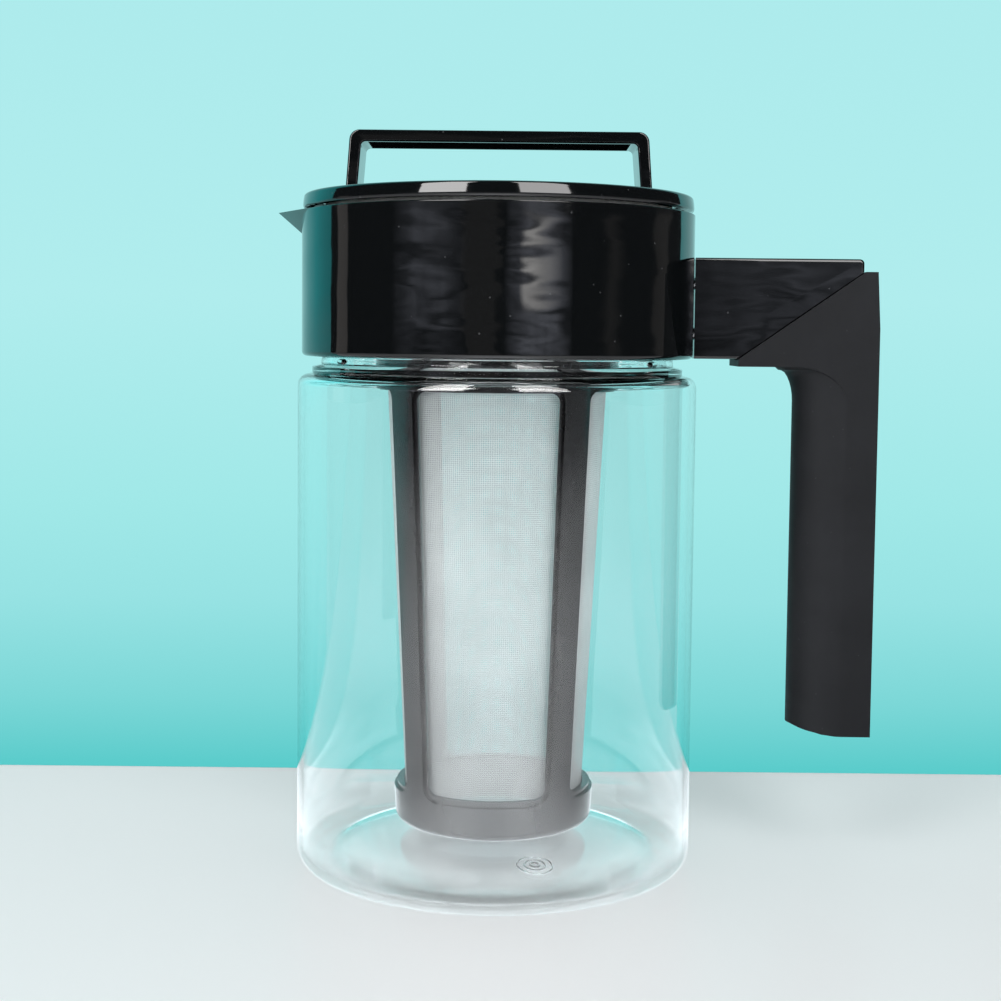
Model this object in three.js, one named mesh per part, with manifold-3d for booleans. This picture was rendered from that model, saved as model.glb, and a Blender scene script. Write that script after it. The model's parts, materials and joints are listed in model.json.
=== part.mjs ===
// Cold brew coffee maker: a clear carafe with a handled pouring collar,
// a plug lid with a strap handle, and a mesh basket that hangs from the lid.
// Millimetres, +Z up. The carafe stands on z = 0.

import * as THREE from 'three';
import { mergeVertices } from 'three/addons/utils/BufferGeometryUtils.js';
import { ConvexGeometry } from 'three/addons/geometries/ConvexGeometry.js';
import Module from 'manifold-3d';

const wasm = await Module();
wasm.setup();

// Clearances and cuts
const seatGap = 0.3;
const runningGap = 0.4;
const overrun = 3;
const mergeDistance = 1e-4;

// Carafe
const bodyRadius = 52;
const bodyWall = 2.4;
const footCornerRadius = 4;
const footRingWidth = 4;
const puntRise = 5.5;
const puntPower = 4;
const shoulderHeight = 128.2;
const shoulderCornerRadius = 3;
const shoulderStep = 6.6;
const neckBeadReach = 2.9;
const neckBeadHeight = 1.9;
const neckHeight = 28.8;

// Collar
const collarInset = 1;
const collarWall = 2.4;
const collarLift = 4.5;
const collarRise = 12.7;
const collarFlange = 2.5;
const collarTopPlate = 2.2;
const collarEdge = 1.2;
const collarSleeveWall = 2.3;

// Seal rings
const neckGasketHeight = 1.3;
const lidGasketHeight = 3;
const lidGasketProud = 0.45;
const lidGasketDepth = 1.55;
const topGasketWidth = 2.6;
const filterGasketHeight = 1.4;

// Spout
const spoutReach = 6.4;
const spoutHalfWidth = 20.5;
const spoutDrop = 6.2;
const spoutWall = 1.8;
const spoutFloor = 2.1;
const spoutAnchorShare = 0.9;
const channelFloorShare = 0.7;

// Lid
const capInset = 0.3;
const capHeight = 3.6;
const capPlate = 2.4;
const capRimWall = 2.4;
const capEdge = 1;
const shadowGap = 0.9;
const plugClearance = 0.7;
const plugWall = 2.6;
const plugDepth = 20.7;
const plugPlate = 2;
const plugPlateDrop = 2.6;
const plugRimWall = 1.3;
const gasketDrop = 14.9;
const pourChannelWidth = 4.5;
const sleeveWall = 1.6;
const sleeveHeight = 18;
const pourWindowWidth = 24;
const pourWindowHeight = 5.2;
const pourWindowCorner = 1.5;

// Strap handle of the lid
const strapLean = 1;
const strapHeight = 16.3;
const strapWidth = 18;
const strapThickness = 3;
const strapOuterCorner = 2.6;
const strapInnerCorner = 1.2;
const strapEdge = 0.4;
const tenonWidth = 12;
const tenonShoulder = 0.3;

// Side handle
const armLength = 43.2;
const armLift = 0.2;
const armHeight = 26;
const armHalfDepth = 8;
const armEdge = 0.8;
const armCorner = 1.2;
const armRecess = 1.5;
const gripHalfDepth = 8.6;
const gripSkin = 4.2;
const gripTopInset = 0.7;
const gripTopStep = 3.3;
const gripLength = 96.5;
const gripWidth = 20.8;
const gripFlat = 7.6;
const gripCorner = 1.2;
const gripCornerShare = 0.3;
const gripBottomSlant = 2.6;
const gripSlantPower = 8;
const gripBottomEdge = 1.2;
const gussetLength = 36.3;
const gussetSkin = 1.9;
const gussetSwoop = 11;
const filletDrop = 9;
const filletReach = 4.8;
const spineHalfDepth = 4.5;
const spineWidth = 9;
const spineInset = 5;
const spineEnd = 9.5;

// Screws
const screwShank = 1.6;
const screwHeadRadius = 3;
const screwHeadHeight = 1.8;
const screwSocket = 0.9;
const armScrewLength = 14;
const armScrewSpacing = 13;
const strapScrewLength = 8;
const strapScrewShank = 0.8;
const strapScrewHead = 2.6;

// Filter basket
const basketShoulder = 1;
const basketTaper = 6.74;
const basketClearance = 2.5;
const basketFootRise = 2.6;
const basketFootInset = 3.8;
const basketFootLip = 2;
const basketWall = 2.6;
const basketFloor = 1.8;
const basketFloorInset = 3.4;
const basketFloorRise = 9.5;
const meshThickness = 0.5;
const windowFoot = 10.6;
const windowHead = 22;
const windowShare = 0.8;
const windowCount = 4;
const windowCorner = 2.6;
const windowLip = 1.4;
const windowLipDepth = 0.8;
const windowTurn = THREE.MathUtils.degToRad(-4.7);
const headFlange = 2.2;
const headHeight = 11;
const headWall = 2.2;

// Fineness of the round forms
const roundSteps = 48;
const screwSteps = 12;
const arcSteps = 4;
const noseSteps = 12;
const swoopSteps = 6;

// Heights and radii that follow from the sizes above
const neckRadius = bodyRadius - shoulderStep;
const neckTop = shoulderHeight + neckHeight;
const neckBore = neckRadius - bodyWall;
const collarRadius = bodyRadius - collarInset;
const collarBottom = shoulderHeight + collarLift;
const collarTop = neckTop + collarRise;
const collarBore = neckBore + seatGap;
const sleeveBottom = neckTop + neckGasketHeight + 2 * seatGap;
const capRadius = collarRadius - capInset;
const capBottom = collarTop + shadowGap;
const capTop = capBottom + capHeight;
const capUnderside = capTop - capPlate;
const plugRadius = neckBore - plugClearance;
const plugTop = capUnderside - seatGap;
const plugBottom = plugTop - plugDepth;
const plugPlateTop = plugTop - plugPlateDrop - seatGap * 2;
const plugPlateBottom = plugPlateTop - plugPlate;
const plugBore = plugRadius - plugWall;
const sleeveOuter = plugBore - pourChannelWidth;
const sleeveRadius = sleeveOuter - sleeveWall;
const innerSleeveBottom = plugPlateBottom - sleeveHeight;
const basketTop = innerSleeveBottom - filterGasketHeight - 2 * seatGap;
const headTop = basketTop + headHeight;
const headRadius = sleeveRadius - runningGap;
const basketTopRadius = sleeveRadius - basketShoulder;
const basketFootRadius = basketTopRadius - basketTaper;
const basketBottom = puntRise + bodyWall + basketClearance;
const floorMeshHeight = basketBottom + basketFloorRise;
const windowBottom = basketBottom + windowFoot;
const windowTop = basketTop - windowHead;
const strapScrewRadius = plugRadius - plugRimWall - strapScrewHead - 2 * seatGap;
const strapFootHalf = strapScrewRadius + strapThickness / 2;
const strapTopHalf = strapFootHalf - strapLean;
const armReach = collarRadius + armLength;
const armBottom = collarBottom + armLift;
const armTop = armBottom + armHeight;
const gripReach = armReach + gripSkin;
const gripInner = gripReach - gripWidth;
const gripTop = armTop - gripTopStep;
const gripUnderArm = armBottom - gussetSkin;
const gripBottom = gripUnderArm - gripLength;
const gussetReach = gripReach - gussetLength;

// Clear and black plastics, soft grip, steel, silicone and mesh
function material(color, roughness, metalness, opacity = 1) {
  return new THREE.MeshStandardMaterial({
    color,
    roughness,
    metalness,
    opacity,
    transparent: opacity < 1,
  });
}

// A closed three.js geometry as a solid that can be cut and joined
function solid(geometry) {
  const bare = geometry.clone();
  bare.deleteAttribute('normal');
  bare.deleteAttribute('uv');
  const merged = mergeVertices(bare, mergeDistance);
  const corners = Array.from(merged.index.array);
  const kept = [];
  for (let i = 0; i < corners.length; i += 3) {
    const [a, b, c] = corners.slice(i, i + 3);
    if (a !== b && b !== c && a !== c) kept.push(a, b, c);
  }
  const points = Float32Array.from(merged.attributes.position.array);
  if (signedVolume(points, kept) < 0) kept.reverse();
  return new wasm.Manifold(new wasm.Mesh({
    numProp: 3,
    vertProperties: points,
    triVerts: Uint32Array.from(kept),
  }));
}

function signedVolume(points, corners) {
  const at = (i) => new THREE.Vector3().fromArray(points, 3 * i);
  let volume = 0;
  for (let i = 0; i < corners.length; i += 3) {
    const [a, b, c] = [at(corners[i]), at(corners[i + 1]), at(corners[i + 2])];
    volume += a.dot(b.cross(c)) / 6;
  }
  return volume;
}

function toMesh(name, shape, finish) {
  const { vertProperties, triVerts, numProp } = shape.getMesh();
  const geometry = new THREE.BufferGeometry();
  const positions = new Float32Array(vertProperties.length / numProp * 3);
  for (let i = 0; i < positions.length / 3; i += 1) {
    for (let k = 0; k < 3; k += 1) positions[3 * i + k] = vertProperties[numProp * i + k];
  }
  geometry.setAttribute('position', new THREE.BufferAttribute(positions, 3));
  geometry.setIndex(new THREE.BufferAttribute(Uint32Array.from(triVerts), 1));
  geometry.computeVertexNormals();
  const mesh = new THREE.Mesh(geometry, finish);
  mesh.name = name;
  return mesh;
}

// A profile of [radius, height] points turned about Z
function lathe(profile, steps = roundSteps) {
  const points = profile.map(([r, z]) => new THREE.Vector2(r, z));
  return new THREE.LatheGeometry(points, steps).rotateX(Math.PI / 2);
}

function turned(profile, steps = roundSteps) {
  return solid(lathe(profile, steps));
}

// A ring of rectangular section
function ring(inner, outer, low, high, steps = roundSteps) {
  return turned([[inner, low], [outer, low], [outer, high], [inner, high], [inner, low]], steps);
}

function cylinder(radius, low, high, steps = roundSteps) {
  return lathe([[0, low], [radius, low], [radius, high], [0, high]], steps);
}

function disc(radius, low, high) {
  return solid(cylinder(radius, low, high));
}

// Points of an arc from one angle to another, in degrees
function arc(cx, cz, radiusX, radiusZ, from, to, steps = arcSteps) {
  const points = [];
  for (let i = 0; i <= steps; i += 1) {
    const angle = THREE.MathUtils.degToRad(from + (to - from) * i / steps);
    points.push([cx + radiusX * Math.cos(angle), cz + radiusZ * Math.sin(angle)]);
  }
  return points;
}

// A closed outline drawn in X and Z, with the same thickness to both sides of Y = 0
function plate(outline, halfDepth, edge = 0) {
  const shape = new THREE.Shape(outline.map(([x, z]) => new THREE.Vector2(x, z)));
  const geometry = new THREE.ExtrudeGeometry(shape, {
    depth: 2 * (halfDepth - edge),
    bevelEnabled: edge > 0,
    bevelThickness: edge,
    bevelSize: edge,
    bevelOffset: -edge,
    bevelSegments: 2,
    steps: 1,
  });
  geometry.translate(0, 0, edge - halfDepth);
  geometry.rotateX(Math.PI / 2);
  return solid(geometry);
}

// A rounded rectangle or trapezoid, its corners given bottom left first
function roundedOutline(corners, radius) {
  const path = new THREE.Shape();
  corners.forEach(([x, y], i) => {
    const before = new THREE.Vector2(...corners[(i + corners.length - 1) % corners.length]);
    const after = new THREE.Vector2(...corners[(i + 1) % corners.length]);
    const here = new THREE.Vector2(x, y);
    const entry = here.clone().add(before.sub(here).setLength(radius));
    const leave = here.clone().add(after.sub(here).setLength(radius));
    if (i === 0) path.moveTo(entry.x, entry.y);
    else path.lineTo(entry.x, entry.y);
    path.quadraticCurveTo(here.x, here.y, leave.x, leave.y);
  });
  path.closePath();
  return path;
}

// A prism along +X between two radii, its outline drawn across (Y) and up (Z)
function radialPrism(outline, near, far) {
  const geometry = new THREE.ExtrudeGeometry(outline, {
    depth: far - near,
    bevelEnabled: false,
    curveSegments: arcSteps,
  });
  const across = new THREE.Vector3(0, 1, 0);
  const up = new THREE.Vector3(0, 0, 1);
  const out = new THREE.Vector3(1, 0, 0);
  geometry.applyMatrix4(new THREE.Matrix4().makeBasis(across, up, out));
  geometry.translate(near, 0, 0);
  return geometry;
}

function hull(points) {
  return solid(new ConvexGeometry(points.map((p) => new THREE.Vector3(...p))));
}

// Blow-moulded body with a pushed-in base, a rounded shoulder and a plain neck
function makeCarafe() {
  const puntRadius = bodyRadius - footCornerRadius - footRingWidth;
  const puntShares = [0, 0.45, 0.7, 0.88, 1];
  const punt = (lift) => puntShares.map((share) => [
    puntRadius * share,
    puntRise * (1 - share ** puntPower) + lift,
  ]);
  const outerCorner = arc(
    bodyRadius - footCornerRadius, footCornerRadius, footCornerRadius, footCornerRadius, -90, 0);
  const outerShoulder = arc(
    bodyRadius - shoulderCornerRadius, shoulderHeight - shoulderCornerRadius,
    shoulderCornerRadius, shoulderCornerRadius, 0, 90);
  const innerRadius = bodyRadius - bodyWall;
  const innerCorner = arc(
    innerRadius - footCornerRadius, footCornerRadius + bodyWall, footCornerRadius,
    footCornerRadius, 0, -90);
  const innerShoulder = arc(
    innerRadius - shoulderCornerRadius, shoulderHeight - bodyWall - shoulderCornerRadius,
    shoulderCornerRadius, shoulderCornerRadius, 90, 0);
  const profile = [
    ...punt(0),
    ...outerCorner,
    ...outerShoulder,
    [neckRadius + neckBeadReach, shoulderHeight + neckBeadHeight / 4],
    [neckRadius, shoulderHeight + neckBeadHeight],
    [neckRadius, neckTop],
    [neckBore, neckTop],
    [neckBore, shoulderHeight - bodyWall],
    ...innerShoulder,
    ...innerCorner,
    ...punt(bodyWall).reverse(),
  ];
  return turned(profile);
}

// V-shaped lip outside the collar, and the trough that leads to it from the bore
function spoutWedge() {
  const lipX = Math.sqrt(collarRadius ** 2 - spoutHalfWidth ** 2);
  const anchor = collarRadius - collarWall;
  return hull([
    [-collarRadius - spoutReach, 0, collarTop],
    [-lipX, -spoutHalfWidth, collarTop],
    [-lipX, spoutHalfWidth, collarTop],
    [-collarRadius, 0, collarTop - spoutDrop],
    [-anchor, 0, collarTop - spoutDrop],
    [-anchor * spoutAnchorShare, 0, collarTop],
  ]);
}

function spoutBlock() {
  const outer = collarRadius - collarWall / 2;
  const section = roundedOutline([
    [-spoutHalfWidth, sleeveBottom],
    [spoutHalfWidth, sleeveBottom],
    [spoutHalfWidth, collarTop],
    [-spoutHalfWidth, collarTop],
  ], spoutWall / 2);
  const wedge = solid(radialPrism(section, 0, outer).rotateZ(Math.PI));
  return wedge.intersect(ring(collarBore, outer, sleeveBottom, collarTop));
}

function spoutChannel() {
  const half = spoutHalfWidth - 2 * spoutWall;
  const top = collarTop + overrun;
  const floor = sleeveBottom + spoutFloor;
  const tip = collarRadius + spoutReach - 2 * spoutWall;
  const lipX = Math.sqrt(collarRadius ** 2 - spoutHalfWidth ** 2) - spoutWall;
  const inner = neckBore - overrun;
  const bottomX = collarRadius - collarWall;
  return hull([
    [-tip, 0, collarTop],
    [-tip, 0, top],
    [-lipX, -half, top],
    [-lipX, half, top],
    [-lipX, -half, collarTop],
    [-lipX, half, collarTop],
    [-bottomX, 0, collarTop - spoutDrop + spoutWall],
    [-collarBore, -half * channelFloorShare, floor],
    [-collarBore, half * channelFloorShare, floor],
    [-inner, -half * channelFloorShare, floor],
    [-inner, half * channelFloorShare, floor],
    [-inner, -half, top],
    [-inner, half, top],
  ]);
}

// Gloss ring round the neck: outer skirt, bottom flange, top plate and inner sleeve
function makeCollar(screwHeights) {
  const inside = collarRadius - collarWall;
  const plateBottom = collarTop - collarTopPlate;
  const sleeveOutside = collarBore + collarSleeveWall;
  const profile = [
    ...arc(collarRadius - collarEdge, collarBottom + collarEdge, collarEdge, collarEdge, -90, 0, 3),
    ...arc(collarRadius - collarEdge / 2, collarTop - collarEdge / 2,
      collarEdge / 2, collarEdge / 2, 0, 90, 2),
    [collarBore, collarTop],
    [collarBore, sleeveBottom],
    [sleeveOutside, sleeveBottom],
    [sleeveOutside, plateBottom],
    [inside, plateBottom],
    [inside, collarBottom + collarFlange],
    [neckRadius + seatGap, collarBottom + collarFlange],
    [neckRadius + seatGap, collarBottom],
    [collarRadius - collarEdge, collarBottom],
  ];
  let collar = turned(profile).add(spoutWedge()).add(spoutBlock());
  collar = collar.subtract(spoutChannel());
  const bore = disc(collarBore, sleeveBottom, collarTop + overrun);
  collar = collar.subtract(bore);
  for (const height of screwHeights) {
    collar = collar.subtract(screwHole(inside - overrun, collarRadius + overrun, height));
  }
  return collar;
}

// A round hole along X for a screw shank
function screwHole(from, to, height) {
  const hole = cylinder(screwShank + seatGap, from, to, screwSteps);
  return solid(hole.rotateY(Math.PI / 2).translate(0, 0, height));
}

// Pan-head screw along +Z, its head below z = 0, with a socket for the driver
function makeScrew(shank, length, headRadius) {
  const rim = screwHeadHeight / 3;
  return turned([
    [0, -screwHeadHeight + screwSocket],
    [screwSocket, -screwHeadHeight + screwSocket],
    [screwSocket, -screwHeadHeight],
    [headRadius - rim, -screwHeadHeight],
    [headRadius, rim - screwHeadHeight],
    [headRadius, 0],
    [shank, 0],
    [shank, length - shank],
    [shank / 2, length],
    [0, length],
  ], screwSteps);
}

// Outer side of the grip, which leans in a little towards the top
function gripOuter(height) {
  return gripReach - gripTopInset * (height - gripBottom) / (gripTop - gripBottom);
}

// Outline of the soft corner piece that wraps the outer end of the arm
function gussetOutline(grow) {
  const swoopBottom = gripUnderArm - gussetSwoop;
  const swoopWidth = gripReach - gripInner - gripFlat;
  return [
    [gussetReach - grow, gripUnderArm - grow],
    ...arc(gripInner, swoopBottom - grow, swoopWidth, gussetSwoop, 90, 0, swoopSteps),
    [gripOuter(swoopBottom) + grow, swoopBottom - grow],
    [gripOuter(gripTop) + grow, gripTop + grow],
    [armReach + seatGap, gripTop + grow],
    [gussetReach - grow, armBottom + grow],
  ];
}

// Gloss L-shaped core: the arm from the collar, and the spine inside the grip
function makeHandleCore(screwHeights) {
  const armOutline = [
    [0, armBottom],
    [armReach, armBottom],
    ...arc(armReach - armCorner, armTop - armCorner, armCorner, armCorner, 0, 90),
    [0, armTop],
  ];
  const arm = plate(armOutline, armHalfDepth, armEdge);
  const recess = plate(gussetOutline(seatGap), armHalfDepth + overrun);
  const core = plate(gussetOutline(overrun), armHalfDepth - armRecess);
  const spine = spineBlock(0, gripBottom + spineEnd, armBottom + overrun);
  let body = arm.subtract(recess.subtract(core)).add(spine);
  body = body.subtract(disc(collarRadius + seatGap, 0, armTop + overrun));
  const start = collarRadius - overrun;
  for (const height of screwHeights) {
    body = body.subtract(screwHole(start, start + armScrewLength + overrun, height));
  }
  return body;
}

function spineBlock(grow, low, high) {
  const outer = gripReach - spineInset + grow;
  const inner = outer - spineWidth - 2 * grow;
  return plate([[inner, low - grow], [outer, low - grow], [outer, high], [inner, high]],
    spineHalfDepth + grow);
}

// One level of the grip: flat outer side, flat flanks and a rounded inner nose
function gripLevel(height, share, shrink) {
  const outer = gripOuter(height) - shrink;
  const flare = Math.max(0, (height - gripUnderArm + filletDrop) / filletDrop);
  const inner = gripInner - filletReach * (1 - Math.sqrt(1 - Math.min(1, flare) ** 2)) + shrink;
  const noseStart = gripReach - gripFlat;
  const half = gripHalfDepth - shrink;
  const corner = gripCorner;
  const points = [
    [outer, -half + corner],
    [outer, half - corner],
    [outer - corner * gripCornerShare, half - corner * gripCornerShare],
    [outer - corner, half],
  ];
  points.push(...arc(noseStart, 0, noseStart - inner, half, 90, 270, noseSteps));
  points.push([outer - corner, -half]);
  points.push([outer - corner * gripCornerShare, -half + corner * gripCornerShare]);
  return points.map(([x, y]) => {
    const slant = gripBottomSlant * (outer - x) / gripWidth;
    return [x, y, height + slant * (1 - share) ** gripSlantPower];
  });
}

// Rings of points joined into a closed skin
function loft(levels) {
  const count = levels[0].length;
  const points = levels.flat();
  const indices = [];
  for (let k = 0; k + 1 < levels.length; k += 1) {
    for (let i = 0; i < count; i += 1) {
      const a = k * count + i;
      const b = k * count + (i + 1) % count;
      indices.push(a, b, b + count, a, b + count, a + count);
    }
  }
  const middle = (level) => level
    .reduce((sum, p) => sum.map((v, i) => v + p[i] / count), [0, 0, 0]);
  const last = (levels.length - 1) * count;
  points.push(middle(levels[0]), middle(levels[levels.length - 1]));
  for (let i = 0; i < count; i += 1) {
    const next = (i + 1) % count;
    indices.push(next, i, points.length - 2);
    indices.push(last + i, last + next, points.length - 1);
  }
  const geometry = new THREE.BufferGeometry();
  geometry.setAttribute('position', new THREE.Float32BufferAttribute(points.flat(), 3));
  geometry.setIndex(indices);
  return solid(geometry);
}

// Soft sleeve over the spine, with the gusset that wraps the arm
function makeGrip() {
  const span = gripLength + gussetSkin / 2;
  const levels = [gripLevel(gripBottom, 0, gripBottomEdge)];
  const straightShares = [0, 0.2, 0.45, 0.7];
  for (const share of straightShares) {
    levels.push(gripLevel(gripBottom + gripBottomEdge + span * share, share, 0));
  }
  const filletStart = gripUnderArm - filletDrop;
  const filletShares = [0, 0.35, 0.6, 0.8, 0.92, 1];
  for (const share of filletShares) {
    const height = filletStart + filletDrop * share;
    levels.push(gripLevel(height, (height - gripBottom) / span, 0));
  }
  const bar = loft(levels);
  const gusset = plate(gussetOutline(0), gripHalfDepth);
  const armSlot = plate([
    [0, armBottom - seatGap],
    [armReach + seatGap, armBottom - seatGap],
    [armReach + seatGap, armTop + overrun],
    [0, armTop + overrun],
  ], armHalfDepth - armRecess + seatGap);
  const spineSlot = spineBlock(seatGap, gripBottom + spineEnd, armBottom + overrun);
  return gusset.add(bar).subtract(armSlot).subtract(spineSlot);
}

// The tenon at one foot of the strap, or with grow the slot that it stands in
function tenonBlock(side, grow, low, high) {
  const outer = side * (strapFootHalf + grow);
  const inner = side * (strapFootHalf - strapThickness - grow);
  return plate([[inner, low], [outer, low], [outer, high], [inner, high]], tenonWidth / 2 + grow);
}

// Shallow gloss dish that covers the collar, with a slot for each foot of the strap
function makeLidCap() {
  const rimInner = capRadius - capRimWall;
  let cap = turned([
    [0, capUnderside],
    [rimInner, capUnderside],
    [rimInner, capBottom],
    [capRadius, capBottom],
    ...arc(capRadius - capEdge, capTop - capEdge, capEdge, capEdge, 0, 90, 3),
    [0, capTop],
  ]);
  for (const side of [-1, 1]) {
    cap = cap.subtract(tenonBlock(side, seatGap, capUnderside - overrun, capTop + overrun));
  }
  return cap;
}

// Inverted cup that plugs the bore, with a pour window and the basket's inner sleeve
function makeLidPlug() {
  const grooveTop = plugTop - gasketDrop;
  const grooveBottom = grooveTop - lidGasketHeight - 2 * seatGap;
  const grooveRadius = plugRadius + lidGasketProud - lidGasketDepth - seatGap;
  const plug = turned([
    [0, plugPlateBottom],
    [sleeveRadius, plugPlateBottom],
    [sleeveRadius, innerSleeveBottom],
    [sleeveOuter, innerSleeveBottom],
    [sleeveOuter, plugPlateBottom],
    [plugBore, plugPlateBottom],
    [plugBore, plugBottom],
    [plugRadius, plugBottom],
    [plugRadius, grooveBottom],
    [grooveRadius, grooveBottom],
    [grooveRadius, grooveTop],
    [plugRadius, grooveTop],
    [plugRadius, plugTop],
    [plugRadius - plugRimWall, plugTop],
    [plugRadius - plugRimWall, plugPlateTop],
    [0, plugPlateTop],
  ]);
  const half = pourWindowWidth / 2;
  const window = roundedOutline([
    [-half, plugPlateBottom - pourWindowHeight],
    [half, plugPlateBottom - pourWindowHeight],
    [half, plugPlateBottom],
    [-half, plugPlateBottom],
  ], pourWindowCorner);
  const prism = radialPrism(window, sleeveOuter + seatGap, plugRadius + overrun);
  return plug.subtract(solid(prism.rotateZ(Math.PI)));
}

// Silicone ring in the plug's groove, with a rounded lip
function makeLidGasket() {
  const top = plugTop - gasketDrop - seatGap;
  const bottom = top - lidGasketHeight;
  const outer = plugRadius + lidGasketProud;
  const inner = outer - lidGasketDepth;
  const lip = lidGasketHeight / 4;
  return turned([
    [inner, bottom],
    [outer - lidGasketProud, bottom],
    [outer, bottom + lip],
    [outer, top - lip],
    [outer - lidGasketProud, top],
    [inner, top],
    [inner, bottom],
  ]);
}

function makeTopGasket() {
  const inner = plugRadius + seatGap;
  return ring(inner, inner + topGasketWidth, collarTop + seatGap, capUnderside - seatGap);
}

// Flat strap bent into a low bridge; each foot ends in a tenon through the cap
function makeStrap() {
  const foot = capTop + tenonShoulder;
  const top = capTop + strapHeight;
  const innerTop = top - strapThickness;
  const draft = THREE.MathUtils.radToDeg(Math.atan((strapFootHalf - strapTopHalf) / strapHeight));
  const outerArc = arc(strapTopHalf - strapOuterCorner, top - strapOuterCorner,
    strapOuterCorner, strapOuterCorner, draft, 90);
  const innerHalf = strapTopHalf - strapThickness;
  const innerArc = arc(innerHalf - strapInnerCorner, innerTop - strapInnerCorner,
    strapInnerCorner, strapInnerCorner, 90, draft);
  const right = [[strapFootHalf, foot], ...outerArc];
  const rightInner = [...innerArc, [strapFootHalf - strapThickness, foot]];
  const flip = (points) => points.map(([x, z]) => [-x, z]).reverse();
  const outline = [...right, ...flip(right), ...flip(rightInner), ...rightInner];
  let strap = plate(outline, strapWidth / 2, strapEdge);
  for (const side of [-1, 1]) {
    strap = strap.add(tenonBlock(side, 0, capUnderside + seatGap, foot + strapThickness / 2));
    strap = strap.subtract(strapScrewHole(side));
  }
  return strap;
}

function strapScrewHole(side) {
  const low = capUnderside - seatGap;
  const hole = cylinder(
    strapScrewShank + seatGap / 2, low, low + strapScrewLength + overrun / 2, screwSteps);
  return solid(hole.translate(side * strapScrewRadius, 0, 0));
}

// Radius of the tapered basket at a height
function basketRadius(height) {
  const share = (height - basketBottom) / (basketTop - basketBottom);
  return basketFootRadius + (basketTopRadius - basketFootRadius) * share;
}

// Outline of one window, drawn flat across the basket, narrower towards the foot
function windowOutline(grow) {
  const halfAngle = Math.PI / windowCount * windowShare;
  const half = (height) => (basketRadius(height) - basketWall / 2) * Math.sin(halfAngle) + grow;
  const low = windowBottom - grow;
  const high = windowTop + grow;
  return roundedOutline([
    [-half(windowBottom), low],
    [half(windowBottom), low],
    [half(windowTop), high],
    [-half(windowTop), high],
  ], windowCorner + grow);
}

// One window as a wedge that cuts outwards through the cage, the first one towards +X
function windowPrism(index, grow) {
  const far = basketTopRadius + overrun;
  const prism = radialPrism(windowOutline(grow), basketFootRadius / 3, far);
  return solid(prism.rotateZ(2 * Math.PI * index / windowCount + windowTurn));
}

// Moulded cage: foot ring, floor flange, four ribs, top band and threaded head
function makeBasketFrame() {
  const floorTop = floorMeshHeight - seatGap;
  const floorBottom = floorTop - basketFloor;
  const inner = (height) => basketRadius(height) - basketWall;
  const flangeBottom = basketTop - headFlange;
  const edge = basketBottom + basketFootRise;
  const footRadius = basketRadius(edge) - basketFootInset;
  let frame = turned([
    [inner(floorTop) - basketFloorInset, floorBottom],
    [inner(floorBottom), floorBottom],
    [inner(edge), edge],
    [footRadius - basketFootLip, basketBottom],
    ...arc(footRadius, edge, basketFootInset, basketFootRise, -90, 0, 2),
    [basketRadius(flangeBottom), flangeBottom],
    [sleeveOuter, flangeBottom],
    [sleeveOuter, basketTop],
    [headRadius, basketTop],
    [headRadius, headTop],
    [headRadius - headWall, headTop],
    [headRadius - headWall, basketTop],
    [inner(flangeBottom), flangeBottom],
    [inner(floorTop), floorTop],
    [inner(floorTop) - basketFloorInset, floorTop],
    [inner(floorTop) - basketFloorInset, floorBottom],
  ]);
  const lipBand = lipShell();
  for (let k = 0; k < windowCount; k += 1) {
    frame = frame.subtract(windowPrism(k, 0));
    frame = frame.subtract(windowPrism(k, windowLip).intersect(lipBand));
  }
  return frame;
}

// The skin of the cage that the recessed lips round the windows are cut from
function lipShell() {
  const low = windowBottom - overrun;
  const high = windowTop + overrun;
  const depth = windowLipDepth;
  return turned([
    [basketRadius(low) - depth, low],
    [basketRadius(low) + overrun, low],
    [basketRadius(high) + overrun, high],
    [basketRadius(high) - depth, high],
    [basketRadius(low) - depth, low],
  ]);
}

// Mesh sleeve that lines the cage, and the mesh disc on its floor flange
function makeMeshSleeve() {
  const low = floorMeshHeight + meshThickness + seatGap;
  const high = windowTop + overrun;
  const outer = (height) => basketRadius(height) - basketWall - seatGap;
  return turned([
    [outer(low) - meshThickness, low],
    [outer(low), low],
    [outer(high), high],
    [outer(high) - meshThickness, high],
    [outer(low) - meshThickness, low],
  ]);
}

function makeFloorMesh() {
  const radius = basketRadius(floorMeshHeight) - basketWall - seatGap;
  return disc(radius, floorMeshHeight, floorMeshHeight + meshThickness);
}

const gloss = () => material(0x0b0b0d, 0.12, 0);
const soft = () => material(0x2b2b2e, 0.75, 0);
const silicone = () => material(0xd9dcda, 0.6, 0);
const steel = () => material(0xb9bcc0, 0.3, 1);
const clear = () => material(0xe6f3f2, 0.05, 0, 0.3);
const cage = () => material(0x3c3a3d, 0.3, 0);
const mesh = () => material(0xe4e4e2, 0.7, 0, 0.7);

const armMiddle = armBottom + armHeight / 2;
const screwHeights = [armMiddle - armScrewSpacing / 2, armMiddle + armScrewSpacing / 2];

// Screw from inside the collar into the arm
function armScrew(name, height) {
  const screw = toMesh(name, makeScrew(screwShank, armScrewLength, screwHeadRadius), steel());
  screw.rotation.y = Math.PI / 2;
  screw.position.set(collarRadius - collarWall - seatGap, 0, height);
  return screw;
}

// Screw from under the lid cap into a tenon of the strap
function strapScrew(name, side) {
  const shape = makeScrew(strapScrewShank, strapScrewLength, strapScrewHead);
  const screw = toMesh(name, shape, steel());
  screw.position.set(side * strapScrewRadius, 0, capUnderside - seatGap);
  return screw;
}

const neckGasketBottom = neckTop + seatGap;
const filterGasketBottom = basketTop + seatGap;

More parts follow.
